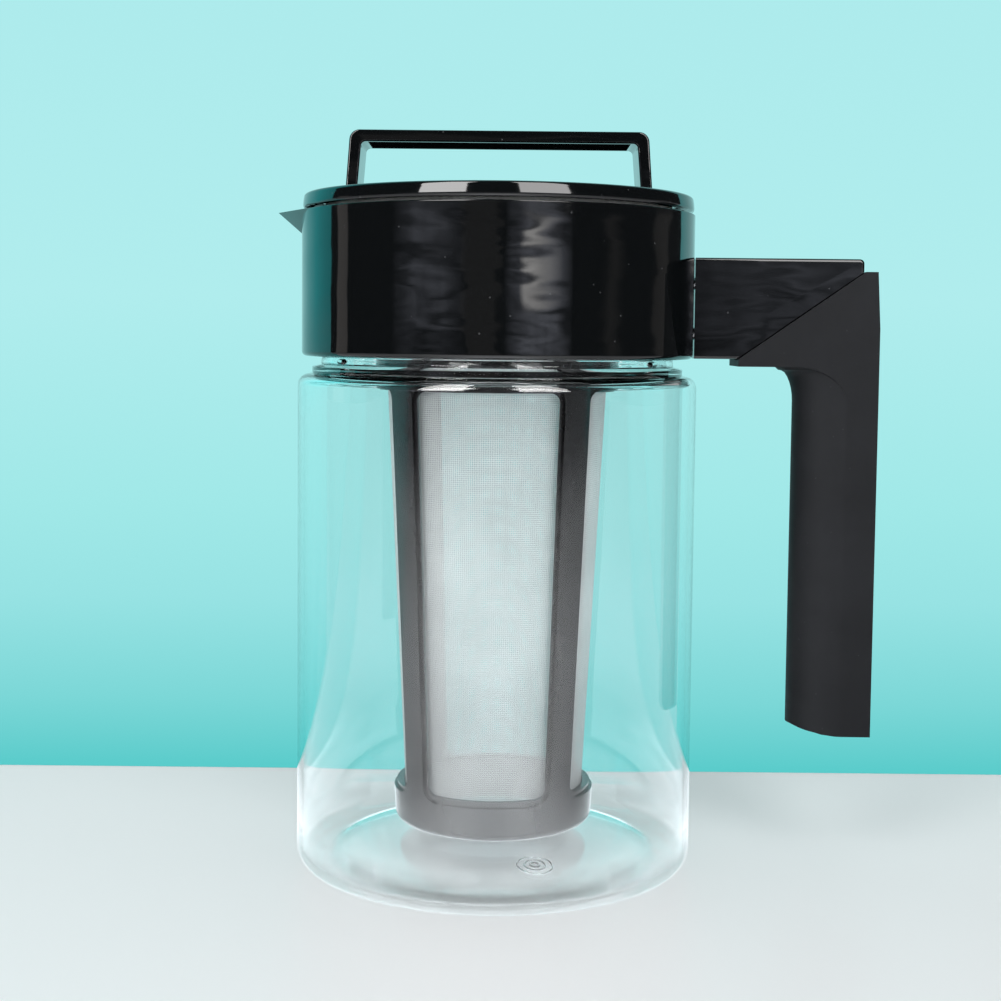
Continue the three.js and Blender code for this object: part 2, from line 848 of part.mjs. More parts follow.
const coffeeMaker = new THREE.Group();
coffeeMaker.position.x = -(gripReach - collarRadius - spoutReach) / 2;
coffeeMaker.add(
  toMesh('carafe', makeCarafe(), clear()),
  toMesh('collar', makeCollar(screwHeights), gloss()),
  toMesh('neck_gasket', ring(collarBore, neckRadius - seatGap, neckGasketBottom,
    neckGasketBottom + neckGasketHeight), silicone()),
  toMesh('handle_core', makeHandleCore(screwHeights), gloss()),
  toMesh('handle_grip', makeGrip(), soft()),
  armScrew('handle_screw_lower', screwHeights[0]),
  armScrew('handle_screw_upper', screwHeights[1]),
  toMesh('lid_cap', makeLidCap(), gloss()),
  toMesh('lid_plug', makeLidPlug(), gloss()),
  toMesh('lid_gasket', makeLidGasket(), silicone()),
  toMesh('lid_top_gasket', makeTopGasket(), silicone()),
  toMesh('lid_handle', makeStrap(), gloss()),
  strapScrew('lid_handle_screw_left', -1),
  strapScrew('lid_handle_screw_right', 1),
  toMesh('filter_frame', makeBasketFrame(), cage()),
  toMesh('filter_mesh', makeMeshSleeve(), mesh()),
  toMesh('filter_floor_mesh', makeFloorMesh(), mesh()),
  toMesh('filter_gasket', ring(headRadius + seatGap, sleeveOuter, filterGasketBottom,
    filterGasketBottom + filterGasketHeight), silicone()),
);
coffeeMaker.updateMatrixWorld(true);

export default coffeeMaker;
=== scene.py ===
# %% [markdown]
# A cold brew coffee maker on a pale table: a clear carafe, a gloss black pouring collar with a side
# handle, a plug lid with a strap, and a mesh basket that hangs inside. Every piece is made in place,
# in metres, with the carafe standing on z = 0. Sizes are written in millimetres, as a maker would
# read them off a drawing, and turned into metres in one spot.

import json
import math

import bmesh
import bpy
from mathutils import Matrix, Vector

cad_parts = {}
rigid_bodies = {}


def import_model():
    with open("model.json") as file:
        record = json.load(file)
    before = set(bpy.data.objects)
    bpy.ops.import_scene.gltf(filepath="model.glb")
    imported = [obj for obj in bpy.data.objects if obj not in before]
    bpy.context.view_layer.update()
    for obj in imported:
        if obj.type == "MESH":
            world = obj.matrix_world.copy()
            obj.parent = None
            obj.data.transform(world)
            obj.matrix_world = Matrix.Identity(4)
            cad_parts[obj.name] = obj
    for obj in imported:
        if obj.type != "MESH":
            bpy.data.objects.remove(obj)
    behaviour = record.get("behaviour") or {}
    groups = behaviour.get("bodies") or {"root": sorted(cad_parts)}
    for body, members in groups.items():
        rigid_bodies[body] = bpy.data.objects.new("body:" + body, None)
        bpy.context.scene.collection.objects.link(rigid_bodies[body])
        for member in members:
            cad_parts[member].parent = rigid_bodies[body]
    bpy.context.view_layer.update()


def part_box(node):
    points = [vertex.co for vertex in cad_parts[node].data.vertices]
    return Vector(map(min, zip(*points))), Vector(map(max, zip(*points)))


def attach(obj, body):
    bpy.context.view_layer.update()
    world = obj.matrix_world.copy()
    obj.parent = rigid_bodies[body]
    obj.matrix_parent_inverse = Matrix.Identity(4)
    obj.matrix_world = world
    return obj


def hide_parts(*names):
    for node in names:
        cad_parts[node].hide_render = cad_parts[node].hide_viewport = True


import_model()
MM = 0.001
low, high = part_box("carafe")
AXIS = (low[0] + high[0]) / 2
print("axis of the carafe at x =", round(AXIS, 5))

# %% [markdown]
# Most pieces of a pitcher are round. On a bench they would be turned, so here half a section is
# drawn point by point from one vertex and spun about the axis. A vertex is got by merging a small
# plane to its centre, and each extrude moves it to the next point of the drawing.

# %% Draw with one vertex
TURN_STEPS, FINE_STEPS = 120, 144


def at(radius, height, across=0):
    """A place given in millimetres from the axis, in metres."""
    return Vector((AXIS + radius * MM, across * MM, height * MM))


def start(name, point):
    bpy.ops.object.select_all(action="DESELECT")
    bpy.ops.mesh.primitive_plane_add(size=MM, location=point)
    piece = bpy.context.object
    piece.name = name
    piece.data.name = name
    bpy.ops.object.transform_apply(location=True, rotation=True, scale=True)
    bpy.ops.object.mode_set(mode="EDIT")
    bpy.context.tool_settings.mesh_select_mode = (True, False, False)
    bpy.ops.mesh.select_all(action="SELECT")
    bpy.ops.mesh.merge(type="CENTER")
    return piece


def trace(points):
    for here, there in zip(points, points[1:]):
        bpy.ops.mesh.extrude_region_move(TRANSFORM_OT_translate={"value": there - here})


def arc(cx, cz, radius_x, radius_z, begin, end, steps=8):
    """Points of an arc in degrees, as a drawing gives a rounded corner."""
    turns = [math.radians(begin + (end - begin) * i / steps) for i in range(steps + 1)]
    return [(cx + radius_x * math.cos(t), cz + radius_z * math.sin(t)) for t in turns]


# %% Select by place
def clear_selection(piece):
    bpy.ops.object.mode_set(mode="OBJECT")
    for part in (piece.data.vertices, piece.data.edges, piece.data.polygons):
        part.foreach_set("select", [False] * len(part))


def from_axis_mm(place):
    """A place in metres, as millimetres from the axis."""
    return (place.x - AXIS) / MM, place.y / MM, place.z / MM


def select_faces(piece, test):
    """Select the faces whose middle passes the test, in millimetres from the axis."""
    clear_selection(piece)
    for polygon in piece.data.polygons:
        polygon.select = test(*from_axis_mm(polygon.center))
    bpy.ops.object.mode_set(mode="EDIT")
    bpy.context.tool_settings.mesh_select_mode = (False, False, True)


def select_points(piece, test):
    """Select the vertices that pass the test, in millimetres from the axis."""
    clear_selection(piece)
    for corner in piece.data.vertices:
        corner.select = test(*from_axis_mm(corner.co))
    bpy.ops.object.mode_set(mode="EDIT")
    bpy.context.tool_settings.mesh_select_mode = (True, False, False)


# %% Close, spin and smooth
def tidy_faces():
    bpy.ops.mesh.select_all(action="SELECT")
    bpy.ops.mesh.remove_doubles(threshold=1e-6)
    bpy.ops.mesh.normals_make_consistent(inside=False)
    bpy.ops.object.mode_set(mode="OBJECT")


def smooth(piece, degrees=35):
    bpy.ops.object.select_all(action="DESELECT")
    piece.select_set(True)
    bpy.context.view_layer.objects.active = piece
    bpy.ops.object.shade_smooth_by_angle(angle=math.radians(degrees))


def spun(name, profile, steps=TURN_STEPS, closed=False):
    """Half a section of [radius, height] points, spun round the axis."""
    points = [at(r, z) for r, z in profile]
    if closed:
        points.append(points[0])
    piece = start(name, points[0])
    trace(points)
    bpy.ops.mesh.select_all(action="SELECT")
    bpy.ops.mesh.spin(steps=steps, angle=2 * math.pi, center=(AXIS, 0, 0), axis=(0, 0, 1))
    tidy_faces()
    smooth(piece)
    return piece


def slab(name, outline, half_depth, plane="XZ"):
    """A closed outline, drawn from the side or from above, given its thickness."""
    if plane == "XZ":
        points = [at(x, z, -half_depth) for x, z in outline]
        depth = (0, 2 * half_depth * MM, 0)
    else:
        points = [at(x, half_depth[0], y) for x, y in outline]
        depth = (0, 0, (half_depth[1] - half_depth[0]) * MM)
    piece = start(name, points[0])
    trace(points)
    bpy.ops.mesh.select_all(action="SELECT")
    bpy.ops.mesh.edge_face_add()
    bpy.ops.mesh.select_all(action="SELECT")
    bpy.ops.mesh.extrude_region_move(TRANSFORM_OT_translate={"value": depth})
    tidy_faces()
    return piece


def block(name, middle, height, size):
    """A cube stretched to a size in millimetres, set by its centre."""
    bpy.ops.object.select_all(action="DESELECT")
    bpy.ops.mesh.primitive_cube_add(size=1, location=at(middle, height), scale=[side * MM for side in size])
    piece = bpy.context.object
    piece.name = piece.data.name = name
    bpy.ops.object.transform_apply(location=True, rotation=True, scale=True)
    return piece


# %% Apply modifiers, cut and join
def apply(piece, kind, **values):
    bpy.ops.object.select_all(action="DESELECT")
    piece.select_set(True)
    bpy.context.view_layer.objects.active = piece
    modifier = piece.modifiers.new(kind.lower(), kind)
    for key, value in values.items():
        setattr(modifier, key, value)
    bpy.ops.object.modifier_apply(modifier=modifier.name)


def combine(piece, tool, operation, keep=False):
    apply(piece, "BOOLEAN", operation=operation, solver="EXACT", object=tool)
    if not keep:
        bpy.data.objects.remove(tool, do_unlink=True)


def soften(piece, width, segments=3, degrees=35):
    apply(piece, "BEVEL", width=width * MM, segments=segments, limit_method="ANGLE",
          angle_limit=math.radians(degrees), harden_normals=False, use_clamp_overlap=True)
    smooth(piece)


def report(piece):
    shape = bmesh.new()
    shape.from_mesh(piece.data)
    loose = sum(1 for edge in shape.edges if len(edge.link_faces) != 2)
    cubic = shape.calc_volume(signed=True) / MM ** 3
    print(f"{piece.name}: {len(shape.faces)} faces, {loose} open edges, {cubic:.0f} cubic mm")
    shape.free()


def stand_for(piece, body, slot, finish, *nodes):
    """Give a finished piece its finish, its body and the solids that it stands for."""
    apply(piece, "WEIGHTED_NORMAL", keep_sharp=True)
    piece.data.materials.clear()
    piece.data.materials.append(finish)
    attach(piece, body)
    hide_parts(*nodes)
    report(piece)


# %% [markdown]
# The finishes come before the pieces. What several of them share is put in node groups: the slow
# waviness of a moulded face with fine dust and smears, and the weave of the mesh. The grain of the
# soft grip is its own. A group gives only values, and each material has its own shader.

# %% Build node groups
def group(name, inputs, outputs):
    tree = bpy.data.node_groups.new(name, "ShaderNodeTree")
    for label, kind, default in inputs:
        socket = tree.interface.new_socket(name=label, in_out="INPUT", socket_type=kind)
        if default is not None:
            socket.default_value = default
    for label, kind in outputs:
        tree.interface.new_socket(name=label, in_out="OUTPUT", socket_type=kind)
    return tree, tree.nodes.new("NodeGroupInput"), tree.nodes.new("NodeGroupOutput")


def node(tree, kind, links=None, **settings):
    """Add a node, set its values and link its inputs by name or number."""
    made = tree.nodes.new(kind)
    for key, value in settings.items():
        setattr(made, key, value)
    for key, value in (links or {}).items():
        socket = made.inputs[key]
        if isinstance(value, bpy.types.NodeSocket):
            tree.links.new(value, socket)
        else:
            socket.default_value = value
    return made


def sums(tree, operation, *values, clamp=False):
    made = node(tree, "ShaderNodeMath", dict(enumerate(values)), operation=operation, use_clamp=clamp)
    return made.outputs[0]


def remap(tree, value, from_low, from_high, to_low, to_high):
    made = node(tree, "ShaderNodeMapRange",
                {0: value, 1: from_low, 2: from_high, 3: to_low, 4: to_high})
    return made.outputs[0]


VECTOR, FLOAT = "NodeSocketVector", "NodeSocketFloat"

# %% Waviness and dust of a moulded face
WAVE, WAVE_IN, WAVE_OUT = group(
    "moulded_face",
    [("Vector", VECTOR, None), ("Size", FLOAT, 60.0)],
    [("Height", FLOAT), ("Dust", FLOAT), ("Smear", FLOAT)],
)
stretched = node(WAVE, "ShaderNodeMapping", {"Vector": WAVE_IN.outputs["Vector"],
                                             "Scale": (1.0, 1.0, 0.28)})
slow = node(WAVE, "ShaderNodeTexNoise", {"Vector": stretched.outputs[0],
                                         "Scale": WAVE_IN.outputs["Size"], "Detail": 2.0,
                                         "Roughness": 0.45})
fine = node(WAVE, "ShaderNodeTexNoise", {"Vector": WAVE_IN.outputs["Vector"], "Scale": 900.0,
                                         "Detail": 3.0})
specks = node(WAVE, "ShaderNodeTexVoronoi", {"Vector": WAVE_IN.outputs["Vector"], "Scale": 420.0,
                                             "Randomness": 1.0})
cloud = node(WAVE, "ShaderNodeTexNoise", {"Vector": WAVE_IN.outputs["Vector"], "Scale": 34.0,
                                          "Detail": 5.0, "Roughness": 0.62})
some = sums(WAVE, "GREATER_THAN", sums(WAVE, "FRACT", sums(
    WAVE, "MULTIPLY", node(WAVE, "ShaderNodeSeparateColor",
                           {0: specks.outputs["Color"]}).outputs[0], 7.31)), 0.72)
dot = remap(WAVE, specks.outputs["Distance"], 0.04, 0.12, 1.0, 0.0)
WAVE.links.new(sums(WAVE, "ADD", slow.outputs[0], sums(WAVE, "MULTIPLY", fine.outputs[0], 0.005)),
               WAVE_OUT.inputs["Height"])
WAVE.links.new(sums(WAVE, "MULTIPLY", dot, some), WAVE_OUT.inputs["Dust"])
WAVE.links.new(remap(WAVE, cloud.outputs[0], 0.42, 0.68, 0.0, 1.0), WAVE_OUT.inputs["Smear"])
print("group", WAVE.name, "has", len(WAVE.nodes), "nodes")

# %% [markdown]
# The mesh is a plain weave of fine threads, about two to the millimetre. The threads that run
# round come from the height, and the upright ones from the angle about the axis, so the same
# weave follows the sleeve. The disc on the floor uses two straight directions.

# %% The weave of the mesh
WEAVE, WEAVE_IN, WEAVE_OUT = group(
    "plain_weave",
    [("Around", FLOAT, 0.0), ("Along", FLOAT, 0.0)],
    [("Cover", FLOAT), ("Height", FLOAT)],
)
warp = sums(WEAVE, "ABSOLUTE", sums(WEAVE, "SINE", WEAVE_IN.outputs["Around"]))
weft = sums(WEAVE, "ABSOLUTE", sums(WEAVE, "SINE", WEAVE_IN.outputs["Along"]))
over = sums(WEAVE, "MAXIMUM", warp, weft)
WEAVE.links.new(remap(WEAVE, over, 0.6, 1.0, 0.1, 0.62), WEAVE_OUT.inputs["Cover"])
WEAVE.links.new(over, WEAVE_OUT.inputs["Height"])
print("group", WEAVE.name, "has", len(WEAVE.nodes), "nodes")


# %% Start a material
def material(name):
    made = bpy.data.materials.new(name)
    made.use_nodes = True
    tree = made.node_tree
    shader = tree.nodes["Principled BSDF"]
    place = node(tree, "ShaderNodeTexCoord").outputs["Object"]
    return made, tree, shader, place


def use(tree, shared, **inputs):
    return node(tree, "ShaderNodeGroup", inputs, node_tree=shared).outputs


def bump(tree, shader, height, strength, distance):
    made = node(tree, "ShaderNodeBump", {"Height": height, "Strength": strength,
                                         "Distance": distance * MM})
    tree.links.new(made.outputs[0], shader.inputs["Normal"])


def tint(tree, shader, value, stops):
    ramp = node(tree, "ShaderNodeValToRGB", {0: value})
    ramp.color_ramp.elements[0].color = (*stops[0], 1)
    ramp.color_ramp.elements[1].color = (*stops[1], 1)
    tree.links.new(ramp.outputs[0], shader.inputs["Base Color"])


# %% [markdown]
# Gloss black plastic is nearly all reflection: its own colour is almost nothing. What makes it real
# is that a moulded face is never quite flat, so a straight reflection of a lamp comes back as a
# wobbly streak, and that it holds a little dust.

# %% Gloss black
gloss, tree, shader, place = material("gloss_black_plastic")
face = use(tree, WAVE, Vector=place, Size=52.0)
tint(tree, shader, face["Dust"], [(0.003, 0.0034, 0.0038), (0.06, 0.062, 0.064)])
tree.links.new(remap(tree, face["Smear"], 0.0, 1.0, 0.035, 0.08), shader.inputs["Roughness"])
shader.inputs["IOR"].default_value = 1.5
flat = node(tree, "ShaderNodeMapping", {"Vector": place, "Scale": (0.4, 0.4, 1.1)})
ripple = node(tree, "ShaderNodeTexNoise", {"Vector": flat.outputs[0], "Scale": 70.0, "Detail": 1.5})
waves = sums(tree, "ADD", sums(tree, "MULTIPLY", face["Height"], 0.6), ripple.outputs[0])
bump(tree, shader, waves, 0.2, 1.5)
print("made", gloss.name)

# %% Soft black grip
grip_finish, tree, shader, place = material("soft_black_grip")
face = use(tree, WAVE, Vector=place, Size=40.0)
grain = node(tree, "ShaderNodeTexNoise", {"Vector": place, "Scale": 2600.0, "Detail": 2.0})
patch = sums(tree, "ADD", sums(tree, "MULTIPLY", face["Smear"], 0.35),
             sums(tree, "MULTIPLY", face["Dust"], 0.9))
tint(tree, shader, patch, [(0.006, 0.0066, 0.008), (0.021, 0.022, 0.025)])
tree.links.new(remap(tree, face["Smear"], 0.0, 1.0, 0.56, 0.66), shader.inputs["Roughness"])
shader.inputs["Specular IOR Level"].default_value = 0.2
bump(tree, shader, sums(tree, "ADD", grain.outputs[0], face["Height"]), 0.28, 0.05)
print("made", grip_finish.name)

# %% Plastic of the cage
cage_finish, tree, shader, place = material("cage_plastic")
face = use(tree, WAVE, Vector=place, Size=90.0)
tint(tree, shader, face["Smear"], [(0.014, 0.013, 0.014), (0.022, 0.02, 0.022)])
tree.links.new(remap(tree, face["Smear"], 0.0, 1.0, 0.12, 0.2), shader.inputs["Roughness"])
bump(tree, shader, face["Height"], 0.2, 1.2)
print("made", cage_finish.name)

# %% Silicone and steel
silicone, tree, shader, place = material("milky_silicone")
face = use(tree, WAVE, Vector=place, Size=120.0)
tint(tree, shader, face["Smear"], [(0.66, 0.67, 0.66), (0.74, 0.75, 0.73)])
tree.links.new(remap(tree, face["Smear"], 0.0, 1.0, 0.42, 0.55), shader.inputs["Roughness"])
shader.inputs["Subsurface Weight"].default_value = 0.2
shader.inputs["Subsurface Radius"].default_value = (0.002, 0.002, 0.002)
bump(tree, shader, face["Height"], 0.15, 0.3)

steel, tree, shader, place = material("screw_steel")
turned_marks = node(tree, "ShaderNodeTexNoise", {"Vector": place, "Scale": 3000.0, "Detail": 3.0})
tint(tree, shader, turned_marks.outputs[0], [(0.48, 0.48, 0.5), (0.68, 0.68, 0.69)])
tree.links.new(remap(tree, turned_marks.outputs[0], 0.3, 0.7, 0.22, 0.38), shader.inputs["Roughness"])
shader.inputs["Metallic"].default_value = 1.0
bump(tree, shader, turned_marks.outputs[0], 0.15, 0.03)
print("made", silicone.name, "and", steel.name)

# %% [markdown]
# Clear copolyester bends light like glass but is lighter. Light and shadow rays pass it straight
# on, or the carafe would stand in a dark blot that a thin clear wall doesn't throw. A trace of
# waviness in the bump breaks up the reflections as a blown wall does. The bend of the outer foot is
# tight enough to ring dark, so most rays go straight on there too.

# %% Clear plastic
clear, tree, shader, place = material("clear_copolyester")
face = use(tree, WAVE, Vector=place, Size=26.0)
shader.inputs["Base Color"].default_value = (0.966, 0.987, 0.987, 1)
shader.inputs["Transmission Weight"].default_value = 1.0
shader.inputs["IOR"].default_value = 1.5
tree.links.new(remap(tree, face["Smear"], 0.0, 1.0, 0.0, 0.025), shader.inputs["Roughness"])
bump(tree, shader, face["Height"], 0.045, 1.0)
path = node(tree, "ShaderNodeLightPath")
passing = sums(tree, "MAXIMUM", path.outputs["Is Shadow Ray"], path.outputs["Is Diffuse Ray"])
x, y, z = node(tree, "ShaderNodeSeparateXYZ", {0: place}).outputs
from_axis = sums(tree, "SQRT", sums(tree, "ADD", sums(
    tree, "POWER", sums(tree, "SUBTRACT", x, AXIS), 2.0), sums(tree, "POWER", y, 2.0)))
outer = remap(tree, from_axis, 0.04, 0.0435, 0.0, 0.85)
foot = sums(tree, "MULTIPLY", outer, remap(tree, z, 0.003, 0.012, 1.0, 0.0))
passing = sums(tree, "MAXIMUM", passing, foot)
straight = node(tree, "ShaderNodeBsdfTransparent", {0: (0.985, 0.995, 0.995, 1)})
mix = node(tree, "ShaderNodeMixShader", {0: passing, 1: shader.outputs[0], 2: straight.outputs[0]})
tree.links.new(mix.outputs[0], tree.nodes["Material Output"].inputs["Surface"])
print("made", clear.name)


# %% Mesh cloth
def weave_finish(name, pitch, radius=None):
    """White threads, darker towards the foot. With a radius they run round the axis, else straight."""
    made, tree, shader, place = material(name)
    centred = node(tree, "ShaderNodeMapping", {"Vector": place, "Location": (-AXIS, 0, 0)})
    x, y, z = node(tree, "ShaderNodeSeparateXYZ", {0: centred.outputs[0]}).outputs
    rate = math.pi / (pitch * MM)
    if radius:
        count = round(math.pi * radius / pitch)
        around = sums(tree, "MULTIPLY", sums(tree, "ARCTAN2", y, x), float(count))
        along = sums(tree, "MULTIPLY", z, rate)
    else:
        around = sums(tree, "MULTIPLY", x, rate)
        along = sums(tree, "MULTIPLY", y, rate)
    cloth = use(tree, WEAVE, Around=around, Along=along)
    face = use(tree, WAVE, Vector=place, Size=80.0)
    tone_darker_low = sums(tree, "MULTIPLY", sums(tree, "ADD", sums(tree, "MULTIPLY", face["Smear"], 0.3), 0.7),
                remap(tree, z, 0.018, 0.065, 0.35, 1.0))
    tint(tree, shader, tone_darker_low, [(0.36, 0.355, 0.36), (0.885, 0.91, 0.915)])
    tree.links.new(cloth["Cover"], shader.inputs["Alpha"])
    shader.inputs["Roughness"].default_value = 0.6
    bump(tree, shader, cloth["Height"], 0.4, 0.15)
    return made


sleeve_cloth = weave_finish("sleeve_mesh", 0.52, 26)
floor_cloth = weave_finish("floor_mesh", 0.52)
print("made", sleeve_cloth.name, "and", floor_cloth.name)

# %% [markdown]
# The carafe is blown: a thin wall, a rounded foot round a pushed-in dome, a rounded shoulder, a
# small bead and a plain neck that the collar sits over. It is one closed half section with both
# faces of the wall in it, spun round the axis.

# %% The carafe
BODY, WALL, THIN = 52.0, 2.4, 1.6
SHOULDER, NECK, NECK_TOP = 128.2, 45.4, 157.0
DOME_RADIUS, DOME_RISE = 44, 5.5


def dome_height(share):
    """Height of the pushed-in base at a share of its radius."""
    return DOME_RISE * (1 - share ** 4)


def dome(lift):
    return [(DOME_RADIUS * s, dome_height(s) + lift)
            for s in (0, 0.12, 0.25, 0.38, 0.5, 0.6, 0.7, 0.78, 0.85, 0.91, 0.96, 1)]


carafe_section = (
    dome(0)
    + arc(BODY - 4, 4, 4, 4, -90, 0)
    + arc(BODY - 3, SHOULDER - 3, 3, 3, 0, 90)
    + [(NECK + 2.9, SHOULDER + 0.2), (NECK + 2.9, SHOULDER + 1.7), (NECK + 2.7, SHOULDER + 1.9)]
    + [(NECK + 0.6, SHOULDER + 2.4), (NECK + 0.48, SHOULDER + 3.7)]
    + [(NECK + 0.45, SHOULDER + 4.2), (NECK + 0.05, SHOULDER + 4.4), (NECK, SHOULDER + 5)]
    + [(NECK, NECK_TOP - 0.6), (NECK - 0.6, NECK_TOP), (NECK - WALL + 0.6, NECK_TOP)]
    + [(NECK - WALL, NECK_TOP - 0.6)]
    + arc(NECK + 2.2, SHOULDER + 3.3, 2.2 + WALL, 2.2 + WALL, 180, 248, 7)
    + [(NECK + 1, SHOULDER - THIN + 0.15)]
    + arc(BODY - 3, SHOULDER - 3, 3 - THIN, 3 - THIN, 90, 0)
    + arc(BODY - 4, 4, 4 - THIN, 4 - WALL, 0, -90)
    + dome(WALL)[::-1]
)
carafe = spun("carafe_blown", carafe_section, steps=FINE_STEPS)


# %% Four lugs on the neck and the ripple of the gate
def added(piece, kind, place, turn=(0, 0, 0), stretch=(1, 1, 1), **sizes):
    """Join a small form onto a piece, set in place by its centre, turn and stretch."""
    bpy.ops.object.select_all(action="DESELECT")
    getattr(bpy.ops.mesh, kind)(location=place, rotation=turn, **sizes)
    form = bpy.context.object
    form.scale = stretch
    bpy.ops.object.transform_apply(location=True, rotation=True, scale=True)
    combine(piece, form, "UNION")


LUG_RADIUS, LUG_HEIGHT, LUG_SIZE = 46, 131.55, (0.8, 2.3, 0.8)
for degrees in (-123.5, -56.5, 56.5, 123.5):
    turn = math.radians(degrees - 90)
    spot = at(LUG_RADIUS * math.cos(turn), LUG_HEIGHT, LUG_RADIUS * math.sin(turn))
    added(carafe, "primitive_uv_sphere_add", spot, (0, 0, turn), [half * MM for half in LUG_SIZE],
          radius=1, segments=24, ring_count=12)
GATE_X, GATE_Y = 10.6, -29.4
share = math.hypot(GATE_X, GATE_Y) / DOME_RADIUS
slope = math.atan(4 * DOME_RISE / DOME_RADIUS * share ** 3)
for radius, thick in ((4.4, 0.3), (2.6, 0.3), (1.1, 0.35)):
    added(carafe, "primitive_torus_add", at(GATE_X, dome_height(share) + WALL, GATE_Y),
          (0, slope, math.atan2(GATE_Y, GATE_X)), major_radius=radius * MM, minor_radius=thick * MM,
          major_segments=36, minor_segments=10)
smooth(carafe)
stand_for(carafe, "carafe", "clear_body", clear, "carafe")

# %% [markdown]
# The collar is a deep ring: an outer skirt, a flange under it, a plate on top and a sleeve that
# reaches down to the neck. Its spout is a small wedge that runs out to a point, hollowed from
# above, so the wedge is joined on first and the trough is cut through both.

# %% The collar turned
COLLAR, COLLAR_LOW, COLLAR_TOP = 51.0, 132.7, 169.7
collar_section = (
    arc(COLLAR - 1.2, COLLAR_LOW + 1.2, 1.2, 1.2, -90, 0, 6)
    + arc(COLLAR - 0.25, COLLAR_TOP - 0.25, 0.25, 0.25, 0, 90, 3)
    + [(43.3, COLLAR_TOP), (43.3, 158.9), (45.6, 158.9), (45.6, 167.5), (48.6, 167.5)]
    + [(48.6, 135.2), (45.7, 135.2), (45.7, COLLAR_LOW)]
)
collar = spun("pouring_collar", collar_section, steps=FINE_STEPS, closed=True)


# %% The spout and its trough
def wedge(name, plan, foot, low, high):
    """A plan drawn at the top that shrinks to a point or short line at its foot."""
    piece = start(name, at(plan[0][0], high, plan[0][1]))
    trace([at(x, high, y) for x, y in plan])
    bpy.ops.mesh.select_all(action="SELECT")
    bpy.ops.mesh.edge_face_add()
    bpy.ops.mesh.extrude_region_move(TRANSFORM_OT_translate={"value": (0, 0, (low - high) * MM)})
    bpy.ops.transform.resize(value=(0.03, 0.03, 1), center_override=at(foot, low))
    tidy_faces()
    return piece


LIP_HALF, TROUGH_HALF = 20.5, 16.9
LIP_X = math.sqrt(COLLAR ** 2 - LIP_HALF ** 2)
beak = wedge("beak", [(-57.4, -0.4), (-57.4, 0.4), (-LIP_X, LIP_HALF), (-44.2, 0), (-LIP_X, -LIP_HALF)],
             -49.8, COLLAR_TOP - 6.4, COLLAR_TOP)
combine(collar, beak, "UNION")

trough = slab("trough", [(-53.6, -0.2), (-53.6, 0.2), (-LIP_X + 1.8, TROUGH_HALF), (-40, TROUGH_HALF),
                         (-40, -TROUGH_HALF), (-LIP_X + 1.8, -TROUGH_HALF)], (160.6, 173), plane="XY")
select_points(trough, lambda x, y, z: z < 165)
bpy.ops.transform.resize(value=(0.25, 0.68, 1), center_override=at(-40, 160.6))
bpy.ops.object.mode_set(mode="OBJECT")
combine(collar, trough, "DIFFERENCE")
soften(collar, 0.22, 2)
stand_for(collar, "carafe", "gloss_black", gloss, "collar")

# %% [markdown]
# The lid's cap is a shallow dish with a rounded rim, and the plug below it is an inverted cup with
# a groove for its seal, a second sleeve that carries the basket, and one window towards the spout.

# %% The cap of the lid
CAP, CAP_LOW, CAP_TOP = 50.7, 170.6, 174.2


def foot_slot(side, grow, low, high):
    """A block for the tenon at one foot of the strap."""
    return block("foot_slot", side * 37.8, (low + high) / 2, (3 + 2 * grow, 12 + 2 * grow, high - low))


cap = spun("lid_dish", [(0, 171.8), (48.3, 171.8), (48.3, CAP_LOW), (CAP - 0.3, CAP_LOW),
                        (CAP - 0.1, CAP_LOW + 0.2)]
           + arc(CAP - 11, CAP_LOW + 0.6, 11, 11, 0, 11, 8)
           + arc(CAP - 1.1, CAP_TOP - 0.9, 0.9, 0.9, 14, 90, 7) + [(0, CAP_TOP)], steps=FINE_STEPS)
for side in (-1, 1):
    combine(cap, foot_slot(side, 0.3, 168, 178), "DIFFERENCE")
smooth(cap)
stand_for(cap, "lid", "gloss_black", gloss, "lid_cap")

# %% The plug of the lid
plug = spun("lid_plug_cup", [
    (0, 166.3), (33.6, 166.3), (33.6, 148.3), (35.2, 148.3), (35.2, 166.3), (39.7, 166.3),
    (39.7, 151.2), (40.1, 150.8), (41.9, 150.8), (42.3, 151.2), (42.3, 153), (40.9, 153),
    (40.9, 156.6), (42.3, 156.6), (42.3, 171.1), (41.9, 171.5), (41, 171.5), (41, 168.3),
    (0, 168.3)], steps=FINE_STEPS)
window = slab("window", [(-45, 161.2), (-35.6, 161.2), (-35.6, 166.2), (-45, 166.2)], 12)
combine(plug, window, "DIFFERENCE")
soften(plug, 0.15, 2)
stand_for(plug, "lid", "gloss_black", gloss, "lid_plug")

# %% [markdown]
# The strap over the lid is one flat bar bent twice. It is drawn from the side as a thin bridge and
# given its width, then every long edge is softened, as a moulded strap is.

# %% The strap of the lid
STRAP_TOP, STRAP_FOOT = 190.5, 174.5


def bridge(top_half, foot_half, top, radius):
    return ([(foot_half, STRAP_FOOT)] + arc(top_half - radius, top - radius, radius, radius, 4, 90, 7)
            + arc(radius - top_half, top - radius, radius, radius, 90, 176, 7)
            + [(-foot_half, STRAP_FOOT)])


